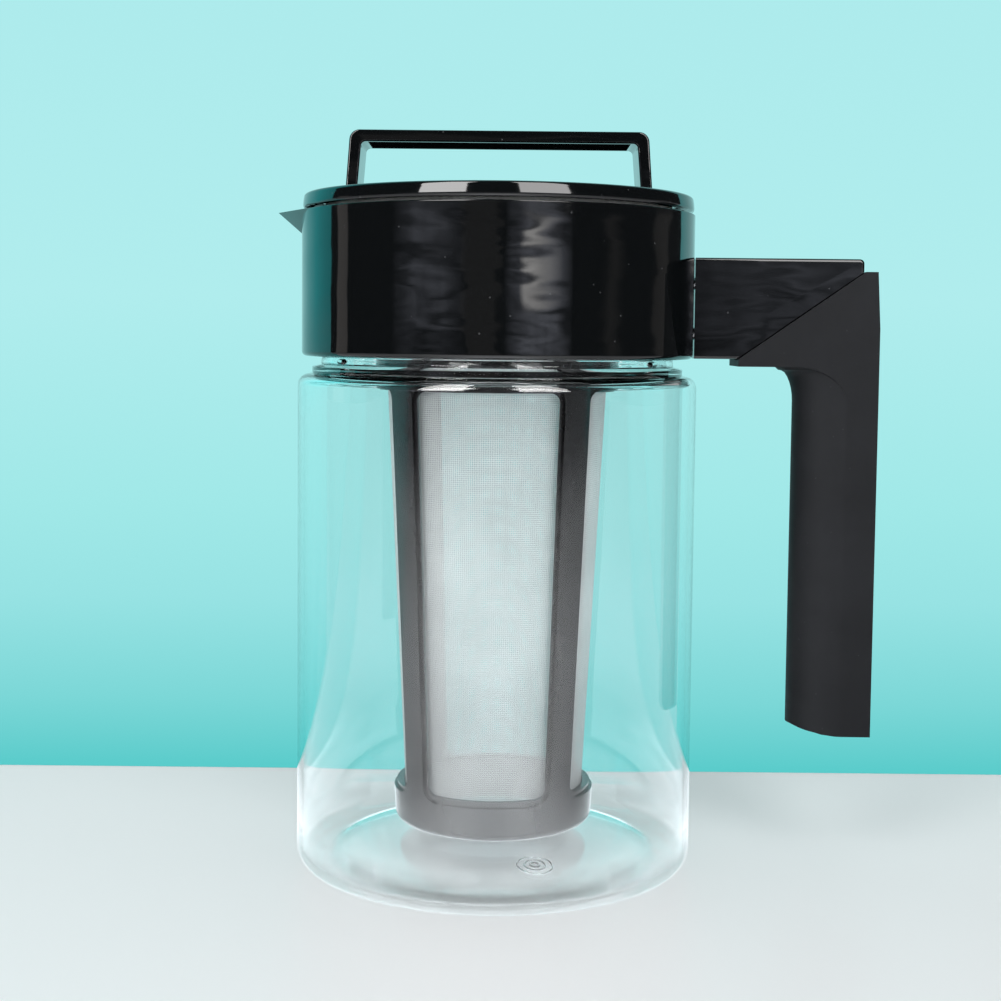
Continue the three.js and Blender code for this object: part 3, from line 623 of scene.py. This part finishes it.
strap = slab("lid_strap", bridge(38.3, 39.3, STRAP_TOP, 2.6)
             + bridge(35.3, 36.3, STRAP_TOP - 3, 1.2)[::-1], 9)
soften(strap, 0.5, 3, 50)
CORE_HALF, CORE_TOP = 33.6, STRAP_TOP - 1.3
core = slab("strap_core", [(-CORE_HALF, 180), (CORE_HALF, 180), (CORE_HALF, CORE_TOP),
                           (-CORE_HALF, CORE_TOP)], 7.6)
combine(strap, core, "DIFFERENCE")
for side in (-1, 1):
    combine(strap, foot_slot(side, 0, 172.1, 175.5), "UNION")
smooth(strap)
stand_for(strap, "lid", "gloss_black", gloss, "lid_handle")

# %% [markdown]
# The side handle has a gloss arm, wrapped at its outer end by the corner of the soft grip. The grip
# is flat outside and on its flanks and round towards the carafe. Its bar starts as a cube whose two
# inner edges are rounded and then drawn out, and a slab with a slanting end is joined on for the
# corner.

# %% The arm
ARM_END, ARM_LOW, ARM_TOP = 94.2, 132.9, 158.9
GRIP_END, GRIP_IN, GRIP_LOW, GRIP_TOP = 98.4, 77.6, 34.5, 155.6
GRIP_HALF, NOSE = 8.6, 13.2
UNDER, SWEEP = 131.0, 11


def corner_outline(grow=0):
    """The soft corner from the side: it wraps the arm's end and sweeps down into the bar."""
    sweep = arc(GRIP_IN, UNDER - SWEEP - grow, NOSE, SWEEP, 90, 0, 12)
    return ([(62.1 - grow, UNDER - grow)] + sweep
            + [(GRIP_END + grow, UNDER - SWEEP - grow), (GRIP_END + grow, 141)]
            + [(97.6 + grow, GRIP_TOP + grow)]
            + [(94.5, GRIP_TOP + grow), (62.1 - grow, ARM_LOW + grow)])


arm = slab("handle_arm", [(48, ARM_LOW), (ARM_END, ARM_LOW)]
           + arc(ARM_END - 1.2, ARM_TOP - 1.2, 1.2, 1.2, 0, 90, 6) + [(48, ARM_TOP)], 8)
soften(arm, 0.8, 3, 60)
hollow = slab("hollow", corner_outline(0.3), 12)
inner = slab("inner", corner_outline(3), 6.5)
combine(hollow, inner, "DIFFERENCE")
combine(arm, hollow, "DIFFERENCE")
spine = slab("spine", [(84.4, 44), (93.4, 44), (93.4, 136), (84.4, 136)], 4.5)
combine(arm, spine, "UNION")
round_seat = spun("round_seat", [(0, 30), (51.3, 30), (51.3, 165), (0, 165)], steps=FINE_STEPS)
combine(arm, round_seat, "DIFFERENCE")
smooth(arm)
stand_for(arm, "carafe", "gloss_black", gloss, "handle_core")

# %% The bar of the grip
BAR_TOP = 122
bar = block("soft_grip", (GRIP_END + GRIP_IN) / 2, (GRIP_LOW + BAR_TOP) / 2,
            (GRIP_END - GRIP_IN, 2 * GRIP_HALF, BAR_TOP - GRIP_LOW))
bpy.ops.object.mode_set(mode="EDIT")
bpy.context.tool_settings.mesh_select_mode = (False, True, False)
clear_selection(bar)
for edge in bar.data.edges:
    ends = [bar.data.vertices[i].co for i in edge.vertices]
    inner_side = all((end.x - AXIS) / MM < GRIP_IN + 1 for end in ends)
    edge.select = inner_side and abs(ends[0].z - ends[1].z) > 10 * MM
bpy.ops.object.mode_set(mode="EDIT")
bpy.ops.mesh.bevel(offset=8.59 * MM, segments=12, affect="EDGES")
select_points(bar, lambda x, y, z: x < GRIP_IN + GRIP_HALF + 0.1)
bpy.ops.transform.resize(value=(NOSE / GRIP_HALF, 1, 1), center_override=at(GRIP_IN + GRIP_HALF, 0))
select_points(bar, lambda x, y, z: x < GRIP_IN + GRIP_HALF + 0.1)
bpy.ops.transform.translate(value=((NOSE - GRIP_HALF) * MM, 0, 0))
print("bar of the grip:", len(bar.data.polygons), "faces")

# %% Sweep the bar out under the corner
REACH, DROP = 4.8, 9.0
steps = [math.sin(math.radians(90 * i / 8)) for i in range(1, 9)]
before = 0.0
for share in steps:
    select_faces(bar, lambda x, y, z: z > 121.5 + DROP * before)
    lift = (share - before) * DROP
    bpy.ops.mesh.extrude_region_move(TRANSFORM_OT_translate={"value": (0, 0, lift * MM)})
    width = GRIP_END - GRIP_IN + REACH * (1 - math.sqrt(1 - before ** 2))
    wider = GRIP_END - GRIP_IN + REACH * (1 - math.sqrt(1 - share ** 2))
    bpy.ops.transform.resize(value=(wider / width, 1, 1), center_override=at(GRIP_END, 0))
    before = share
for back in range(12):
    reach = GRIP_IN + NOSE + 0.1 - 1.1 * back
    select_points(bar, lambda x, y, z: z < GRIP_LOW + 3 and x < reach)
    bpy.ops.transform.translate(value=(0, 0, 0.03 * (back + 1) * MM))
tidy_faces()
corner = slab("corner", corner_outline(), GRIP_HALF)
combine(bar, corner, "UNION")
soften(bar, 0.5, 3, 40)
pocket = slab("pocket", [(40, ARM_LOW - 0.3), (94.5, ARM_LOW - 0.3), (94.5, 162), (40, 162)], 6.8)
combine(bar, pocket, "DIFFERENCE")
core_hole = slab("core_hole", [(84.1, 43.7), (93.7, 43.7), (93.7, 136), (84.1, 136)], 4.8)
combine(bar, core_hole, "DIFFERENCE")

# %% Merge the slivers that the cuts leave
SLIVER = 0.01
bpy.ops.object.mode_set(mode="EDIT")
bpy.ops.mesh.select_all(action="SELECT")
bpy.ops.mesh.remove_doubles(threshold=SLIVER * MM)
bpy.ops.mesh.select_all(action="SELECT")
bpy.ops.mesh.fill_holes(sides=4)
tidy_faces()
smooth(bar, 40)
stand_for(bar, "carafe", "soft_grip", grip_finish, "handle_grip")

# %% [markdown]
# The basket's cage is the piece that takes the most care. It is turned as one tapered cup with a
# foot ring, a floor flange and a head, and four windows are cut along the way the mould opens. Each
# window has a shallow recessed lip, which a second, larger cutter makes in the skin alone.

# %% The cage turned
BASKET_LOW, BASKET_EDGE, BASKET_TOP = 10.4, 13.0, 146.3


def cage_radius(height):
    return 25.86 + 6.74 * (height - BASKET_LOW) / (BASKET_TOP - BASKET_LOW)


cage = spun("basket_cage", [
    (cage_radius(19.6) - 6, 17.8), (cage_radius(17.8) - 2.6, 17.8),
    (23.4, BASKET_EDGE)] + arc(22.2, BASKET_EDGE, 2, 1.6, 0, -90, 5) + [
    (20.2, 11.2), (20.2, BASKET_LOW)] + arc(22.2, BASKET_EDGE, 3.8, 2.6, -90, 0) + [
    (cage_radius(21), 21), (cage_radius(60), 60), (cage_radius(100), 100),
    (cage_radius(144.1), 144.1), (34.9, 144.1), (35.2, 144.4), (35.2, 146), (34.9, 146.3),
    (33.2, 146.3), (33.2, 156.9), (32.8, 157.3), (31.4, 157.3), (31, 156.9), (31, 146.3),
    (cage_radius(144.1) - 2.6, 144.1), (cage_radius(100) - 2.6, 100), (cage_radius(60) - 2.6, 60),
    (cage_radius(19.6) - 2.6, 19.6), (cage_radius(19.6) - 6, 19.6)], steps=FINE_STEPS, closed=True)


# %% The windows and their lips
WINDOW_LOW, WINDOW_HIGH, WINDOW_HALF_DEGREES, WINDOW_TURN = 21, 124.3, 36, 4.7


def window_cutter(grow, inside, outside):
    """One wedge drawn across the basket, narrower towards the foot, with rounded corners."""
    bottom, top = WINDOW_LOW - grow, WINDOW_HIGH + grow
    half_low, half_high = ((cage_radius(end) - 1.3) * math.sin(math.radians(WINDOW_HALF_DEGREES)) + grow
                           for end in (WINDOW_LOW, WINDOW_HIGH))
    corners = [(-half_low, bottom), (half_low, bottom), (half_high, top), (-half_high, top)]
    points = [at(inside, z, y) for y, z in corners]
    cutter = start("window_cutter", points[0])
    trace(points)
    bpy.ops.mesh.select_all(action="SELECT")
    bpy.ops.mesh.edge_face_add()
    bpy.ops.mesh.select_all(action="SELECT")
    bpy.ops.mesh.bevel(offset=(2.4 + grow) * MM, segments=6, affect="VERTICES")
    bpy.ops.mesh.select_all(action="SELECT")
    bpy.ops.mesh.extrude_region_move(
        TRANSFORM_OT_translate={"value": ((outside - inside) * MM, 0, 0)})
    tidy_faces()
    return cutter


def four_round(cutter):
    copies = []
    for quarter in range(4):
        bpy.ops.object.select_all(action="DESELECT")
        turned_copy = cutter.copy()
        turned_copy.data = cutter.data.copy()
        bpy.context.collection.objects.link(turned_copy)
        turned_copy.select_set(True)
        bpy.context.view_layer.objects.active = turned_copy
        bpy.ops.object.mode_set(mode="EDIT")
        bpy.ops.mesh.select_all(action="SELECT")
        bpy.ops.transform.rotate(value=math.radians(90 * quarter + WINDOW_TURN), orient_axis="Z",
                                 center_override=at(0, 0))
        bpy.ops.object.mode_set(mode="OBJECT")
        copies.append(turned_copy)
    bpy.data.objects.remove(cutter, do_unlink=True)
    return copies


skin = spun("skin", [(cage_radius(15) - 0.8, 15), (40, 15), (40, 130), (cage_radius(130) - 0.8, 130)],
            steps=FINE_STEPS, closed=True)
for cutter in four_round(window_cutter(1.4, 15, 38)):
    combine(cutter, skin, "INTERSECT", keep=True)
    combine(cage, cutter, "DIFFERENCE")
bpy.data.objects.remove(skin, do_unlink=True)
for cutter in four_round(window_cutter(0, 12, 38)):
    combine(cage, cutter, "DIFFERENCE")
soften(cage, 0.22, 2, 40)
stand_for(cage, "filter", "cage_plastic", cage_finish, "filter_frame")

# %% The mesh sleeve and the mesh floor
SLEEVE_IN, SLEEVE_OUT = 3.05, 2.9
sleeve = spun("mesh_sleeve", [(cage_radius(height) - inward, height) for height, inward in (
    (20.7, SLEEVE_IN), (20.7, SLEEVE_OUT), (127.3, SLEEVE_OUT), (127.3, SLEEVE_IN))],
    steps=FINE_STEPS, closed=True)
stand_for(sleeve, "filter", "fine_mesh", sleeve_cloth, "filter_mesh")
floor_disc = spun("mesh_floor", [(0, 19.9), (23.3, 19.9), (23.4, 20.1), (23.3, 20.3), (0, 20.3)])
stand_for(floor_disc, "filter", "fine_mesh", floor_cloth, "filter_floor_mesh")

# %% [markdown]
# Four silicone rings seal the vessel. Each has a section of its own, with rounded lips, and all are
# turned in the same way. The screws keep their solids and get a steel finish.

# %% Seal rings and screws
SEALS = [
    ("neck_seal", "carafe", "neck_gasket",
     [(43.4, 157.3), (45, 157.3), (45.1, 157.6), (45, 158.5), (43.4, 158.6), (43.3, 158)]),
    ("plug_seal", "lid_seal", "lid_gasket",
     [(41.2, 153.3), (42.3, 153.3), (42.65, 153.8), (42.75, 154.4), (42.5, 154.8), (42.75, 155.2),
      (42.65, 155.8), (42.3, 156.3), (41.2, 156.3)]),
    ("cap_seal", "lid", "lid_top_gasket",
     [(42.6, 170), (45.1, 170), (45.2, 170.4), (45.2, 171.2), (45.1, 171.5), (42.6, 171.5)]),
    ("basket_seal", "filter_seal", "filter_gasket",
     [(33.5, 146.6), (35.1, 146.6), (35.2, 147), (35.2, 147.7), (35.1, 148), (33.5, 148)]),
]
for name, body, cad_node, section in SEALS:
    seal = spun(name, section, steps=FINE_STEPS, closed=True)
    stand_for(seal, body, "silicone", silicone, cad_node)
for screw in bpy.data.objects:
    if screw.type == "MESH" and "screw" in screw.name:
        screw.data.materials.clear()
        screw.data.materials.append(steel)
        print("steel on", screw.name)

# %% [markdown]
# The table is a pale plane and the wall close behind it is a soft blue-green that pales upwards.
# The wall is seen by the camera, in gloss and through the clear plastic, and doesn't light the
# object, so the object's colours stay their own. From behind, the wall is clear. In reflections the
# table has a painted glow near the carafe and is painted dark far in front: painted reflections.

# %% The table
bpy.ops.object.select_all(action="DESELECT")
bpy.ops.mesh.primitive_plane_add(size=6, location=(AXIS, 0, -0.2 * MM))
table = bpy.context.object
table.name = "table"
bpy.ops.object.transform_apply(location=True, rotation=True, scale=True)
table_finish, tree, shader, place = material("pale_table")
tint(tree, shader, node(tree, "ShaderNodeTexNoise", {"Vector": place, "Scale": 6.0}).outputs[0],
     [(0.9, 0.91, 0.915), (0.93, 0.938, 0.942)])
shader.inputs["Roughness"].default_value = 0.45
path = node(tree, "ShaderNodeLightPath")
x, depth = node(tree, "ShaderNodeSeparateXYZ", {0: place}).outputs[:2]
sideways = sums(tree, "SUBTRACT", x, AXIS)
reach = sums(tree, "SQRT", sums(tree, "ADD", sums(tree, "POWER", sideways, 2.0),
                                sums(tree, "POWER", depth, 2.0)))
# Painted reflection: seen in gloss, the table glows, most in a strip ahead of the carafe and round it.
mirrored = sums(tree, "GREATER_THAN", path.outputs["Glossy Depth"], 0.5)
painted_dark_far = sums(tree, "MULTIPLY", mirrored, remap(tree, depth, -1.3, -0.6, 1.0, 0.0))
shader.inputs["Emission Color"].default_value = (0.95, 0.99, 1.04, 1)
ahead = remap(tree, sums(tree, "ABSOLUTE", sideways), 0.035, 0.1, 1.0, 0.0)
around = sums(tree, "MULTIPLY", remap(tree, reach, 0.25, 0.7, 0.6, 0.2),
              remap(tree, reach, 0.06, 0.2, 0.1, 1.0))
painted_glow = sums(tree, "ADD", around, sums(tree, "MULTIPLY", ahead, remap(tree, reach, 0.16, 0.45, 1.5, 0.0)))
tree.links.new(sums(tree, "MULTIPLY", mirrored, painted_glow), shader.inputs["Emission Strength"])
# Painted shade in reflections: seen in gloss, the table far in front is a dark room.
room = node(tree, "ShaderNodeEmission", {"Color": (0.02, 0.02, 0.021, 1), "Strength": 1.0})
mix = node(tree, "ShaderNodeMixShader", {0: painted_dark_far, 1: shader.outputs[0], 2: room.outputs[0]})
tree.links.new(mix.outputs[0], tree.nodes["Material Output"].inputs["Surface"])
table.data.materials.append(table_finish)

# %% The wall behind
bpy.ops.object.select_all(action="DESELECT")
bpy.ops.mesh.primitive_plane_add(size=6, location=(AXIS, 0.0855, 3), rotation=(math.pi / 2, 0, 0))
wall = bpy.context.object
wall.name = "wall"
bpy.ops.object.transform_apply(location=True, rotation=True, scale=True)
wall_finish, tree, shader, place = material("blue_green_wall")
across, _, height = node(tree, "ShaderNodeSeparateXYZ", {0: place}).outputs
ramp = node(tree, "ShaderNodeValToRGB", {0: remap(tree, height, 0.0, 0.25, 0.0, 1.0)})
stops = ramp.color_ramp.elements
stops[0].color, stops[1].color = (0.1, 0.6, 0.595, 1), (0.42, 0.83, 0.84, 1)
for spot, colour in ((0.09, (0.2, 0.68, 0.68, 1)), (0.22, (0.31, 0.765, 0.77, 1)),
                     (0.34, (0.355, 0.81, 0.805, 1)), (0.6, (0.435, 0.845, 0.85, 1))):
    stops.new(spot).color = colour
path = node(tree, "ShaderNodeLightPath")
side = node(tree, "ShaderNodeNewGeometry").outputs["Backfacing"]
mirrored = sums(tree, "GREATER_THAN", path.outputs["Glossy Depth"], 0.5)
# Painted reflection: seen in gloss, the sides of the wall are a deeper, brighter teal, most of all higher up.
painted_side_mask = sums(tree, "MULTIPLY", mirrored, sums(
    tree, "MULTIPLY", remap(tree, sums(tree, "ABSOLUTE", across), 0.1, 0.2, 0.0, 1.0),
    remap(tree, height, 0.11, 0.15, 0.15, 1.0)))
deep = node(tree, "ShaderNodeMix", {0: painted_side_mask, 6: ramp.outputs[0], 7: (0.12, 1.1, 1.14, 1)},
            data_type="RGBA")
glow = node(tree, "ShaderNodeEmission", {"Color": deep.outputs[2], "Strength": 1.0})
near = sums(tree, "MULTIPLY", sums(tree, "GREATER_THAN", across, -0.36),
            sums(tree, "LESS_THAN", across, 0.15))
in_gloss = sums(tree, "MULTIPLY", path.outputs["Is Glossy Ray"], near)
seen = sums(tree, "MAXIMUM", sums(tree, "MAXIMUM", path.outputs["Is Camera Ray"],
                                  path.outputs["Is Transmission Ray"]), in_gloss)
seen = sums(tree, "MULTIPLY", seen, sums(tree, "SUBTRACT", 1.0, side))
through = node(tree, "ShaderNodeBsdfTransparent")
mix = node(tree, "ShaderNodeMixShader", {0: seen, 1: through.outputs[0], 2: glow.outputs[0]})
tree.links.new(mix.outputs[0], tree.nodes["Material Output"].inputs["Surface"])
tree.nodes.remove(shader)
wall.data.materials.append(wall_finish)
print("table and wall are stage pieces")

# %% [markdown]
# The room is dark for gloss, so black plastic stays black, with faint streaks where a window and a
# pale wall would be, and it is an even soft grey for light. Two soft boxes in front and a weak one
# overhead light the object. Gloss doesn't see them: it sees two upright cards, whose reflections are
# the pale bars on the rim, the neck and the shoulder.

# %% Directions in the room
world = bpy.data.worlds.new("studio")
bpy.context.scene.world = world
world.use_nodes = True
tree = world.node_tree
back = tree.nodes["Background"]
path = node(tree, "ShaderNodeLightPath")
way = node(tree, "ShaderNodeTexCoord").outputs["Generated"]
x, y, z = node(tree, "ShaderNodeSeparateXYZ", {0: way}).outputs
azimuth = sums(tree, "MULTIPLY", sums(tree, "ARCTAN2", x, sums(tree, "MULTIPLY", y, -1.0)), 180 / math.pi)
rise = sums(tree, "MULTIPLY", sums(tree, "ARCSINE", z), 180 / math.pi)


def band(value, from_low, to_low, to_high, from_high):
    """One between to_low and to_high, and nothing outside, with soft flanks."""
    return sums(tree, "MULTIPLY", remap(tree, value, from_low, to_low, 0.0, 1.0),
                remap(tree, value, to_high, from_high, 1.0, 0.0))


# %% Streaks, panes and the room's colours
wobble = node(tree, "ShaderNodeCombineXYZ", {0: sums(tree, "MULTIPLY", azimuth, 0.035),
                                            1: sums(tree, "MULTIPLY", rise, 1.15)}).outputs[0]
streaks = remap(tree, node(tree, "ShaderNodeTexNoise", {"Vector": wobble, "Scale": 1.0, "Detail": 4.0,
                                                        "Roughness": 0.62}).outputs[0], 0.4, 0.66, 0.05, 1.3)
sides = sums(tree, "ADD", sums(tree, "MULTIPLY", band(azimuth, -62, -48, -32, -18), 0.4),
             band(azimuth, 4, 19, 28, 42))
glow = sums(tree, "MULTIPLY", sums(tree, "MULTIPLY", sides, streaks), band(rise, -3, 0.8, 4.2, 5.5))
bent = sums(tree, "ADD", azimuth, sums(tree, "MULTIPLY", sums(tree, "SINE", sums(
    tree, "MULTIPLY", rise, 2.3)), 2.5))
uprights = sums(tree, "ADD", band(azimuth, -106, -105, -96, -95), sums(
    tree, "MULTIPLY", sums(tree, "ADD", band(bent, -20, -19, 0, 2), sums(
        tree, "ADD", band(bent, 60, 66, 68, 76), band(bent, 100, 103, 114, 118))), 0.3))
uprights = sums(tree, "MULTIPLY", uprights, remap(tree, rise, 4.6, 5.6, 1.0, 0.0))
room = node(tree, "ShaderNodeMix", {0: uprights, 6: (0.03, 0.031, 0.033, 1), 7: (0.5, 0.47, 0.45, 1)},
            data_type="RGBA")
room = node(tree, "ShaderNodeMix", {0: glow, 6: room.outputs[2], 7: (2.0, 2.1, 2.45, 1)}, data_type="RGBA")
pane = sums(tree, "MULTIPLY", band(azimuth, 13, 16, 20, 36), band(rise, 1.9, 2.3, 2.6, 3.0))
room = node(tree, "ShaderNodeMix", {0: pane, 6: room.outputs[2], 7: (5.5, 5.4, 5.3, 1)}, data_type="RGBA")

# %% What light and gloss see of the room
mirrored = sums(tree, "GREATER_THAN", path.outputs["Glossy Depth"], 0.5)
level = remap(tree, z, 0.0, 1.0, 1.1, 0.3)
soft = node(tree, "ShaderNodeCombineColor", {0: level, 1: sums(tree, "MULTIPLY", level, 1.015),
                                             2: sums(tree, "MULTIPLY", level, 1.03)})
shade = node(tree, "ShaderNodeMix", {0: path.outputs["Is Diffuse Ray"], 6: (0.6, 0.84, 0.84, 1),
                                     7: soft.outputs[0]}, data_type="RGBA")
pale = node(tree, "ShaderNodeMix", {0: mirrored, 6: shade.outputs[2], 7: room.outputs[2]}, data_type="RGBA")
tree.links.new(pale.outputs[2], back.inputs["Color"])
print("room of", len(tree.nodes), "nodes")


# %% Three soft boxes
def soft_box(name, azimuth, elevation, distance, width, height, watts):
    """A rectangular lamp that looks at the middle of the carafe; azimuth is from straight ahead."""
    turn, rise = math.radians(azimuth), math.radians(elevation)
    target = at(0, 110)
    offset = Vector((math.sin(turn) * math.cos(rise), -math.cos(turn) * math.cos(rise),
                     math.sin(rise))) * distance
    lamp = bpy.data.lights.new(name, "AREA")
    lamp.shape = "RECTANGLE"
    lamp.size, lamp.size_y, lamp.energy = width, height, watts
    lamp_object = bpy.data.objects.new(name, lamp)
    bpy.context.collection.objects.link(lamp_object)
    lamp_object.location = target + offset
    lamp_object.rotation_euler = (-offset).to_track_quat("-Z", "Y").to_euler()
    lamp_object.visible_camera = lamp_object.visible_glossy = False


soft_box("left_box", -30, 34, 1.3, 0.5, 0.9, 5)
soft_box("right_box", 23, 34, 1.3, 0.5, 0.9, 5)
soft_box("top_box", 0, 84, 1.3, 1.0, 1.0, 0.8)


def reflector(name, azimuth, low_edge, high_edge, width, distance, strength):
    """An upright card that only gloss sees: it gives the bright bars on the rim, neck and shoulder."""
    bpy.ops.object.select_all(action="DESELECT")
    turn = math.radians(azimuth)
    low, high = (distance * math.tan(math.radians(edge)) for edge in (low_edge, high_edge))
    outward = Vector((math.sin(turn), -math.cos(turn), 0)) * distance
    bpy.ops.mesh.primitive_plane_add(size=1, location=at(0, 150) + outward + Vector((0, 0, (low + high) / 2)))
    card = bpy.context.object
    card.name = name
    card.scale = (2 * distance * math.tan(math.radians(width / 2)), high - low, 1)
    card.rotation_euler = (-outward).to_track_quat("Z", "Y").to_euler()
    card.visible_camera = card.visible_diffuse = card.visible_shadow = False
    made, tree, shader, place = material(name)
    glow = node(tree, "ShaderNodeEmission", {"Color": (1, 0.99, 0.985, 1), "Strength": strength})
    path = node(tree, "ShaderNodeLightPath")
    mirrored = sums(tree, "GREATER_THAN", path.outputs["Glossy Depth"], 0.5)
    nothing = node(tree, "ShaderNodeBsdfTransparent")
    mix = node(tree, "ShaderNodeMixShader", {0: mirrored, 1: nothing.outputs[0], 2: glow.outputs[0]})
    tree.links.new(mix.outputs[0], tree.nodes["Material Output"].inputs["Surface"])
    tree.nodes.remove(shader)
    card.data.materials.append(made)


reflector("left_card", -31, 7.5, 62, 25, 1.0, 12)
reflector("right_card", 26.5, 7.5, 62, 28, 1.0, 8.7)
print("three soft boxes and two cards")

# %% [markdown]
# The camera stands 44 cm in front, a little above the middle, and looks slightly down. Its place,
# lens and shift were found from the ellipses of the lid, the collar and the base.

# %% The camera
lens = bpy.data.cameras.new("camera")
camera = bpy.data.objects.new("camera", lens)
bpy.context.collection.objects.link(camera)
lens.sensor_width = 36
lens.lens = 59.84
lens.shift_y = -0.048
lens.clip_start = 0.01
PITCH, ROLL = 0.0704, 0.0100
ahead = Vector((0, math.cos(PITCH), -math.sin(PITCH)))
right = Vector((1, 0, 0))
upward = right.cross(ahead)
tilted_right = math.cos(ROLL) * right + math.sin(ROLL) * upward
tilted_up = tilted_right.cross(ahead)
turn = camera.matrix_world.to_3x3()
turn.col[0], turn.col[1], turn.col[2] = tilted_right, tilted_up, -ahead
camera.matrix_world = turn.to_4x4()
camera.location = at(1.07, 138.5, -437.5)
bpy.context.scene.camera = camera
bpy.context.scene.view_settings.view_transform = "Standard"
print("camera at", [round(v, 4) for v in camera.location])
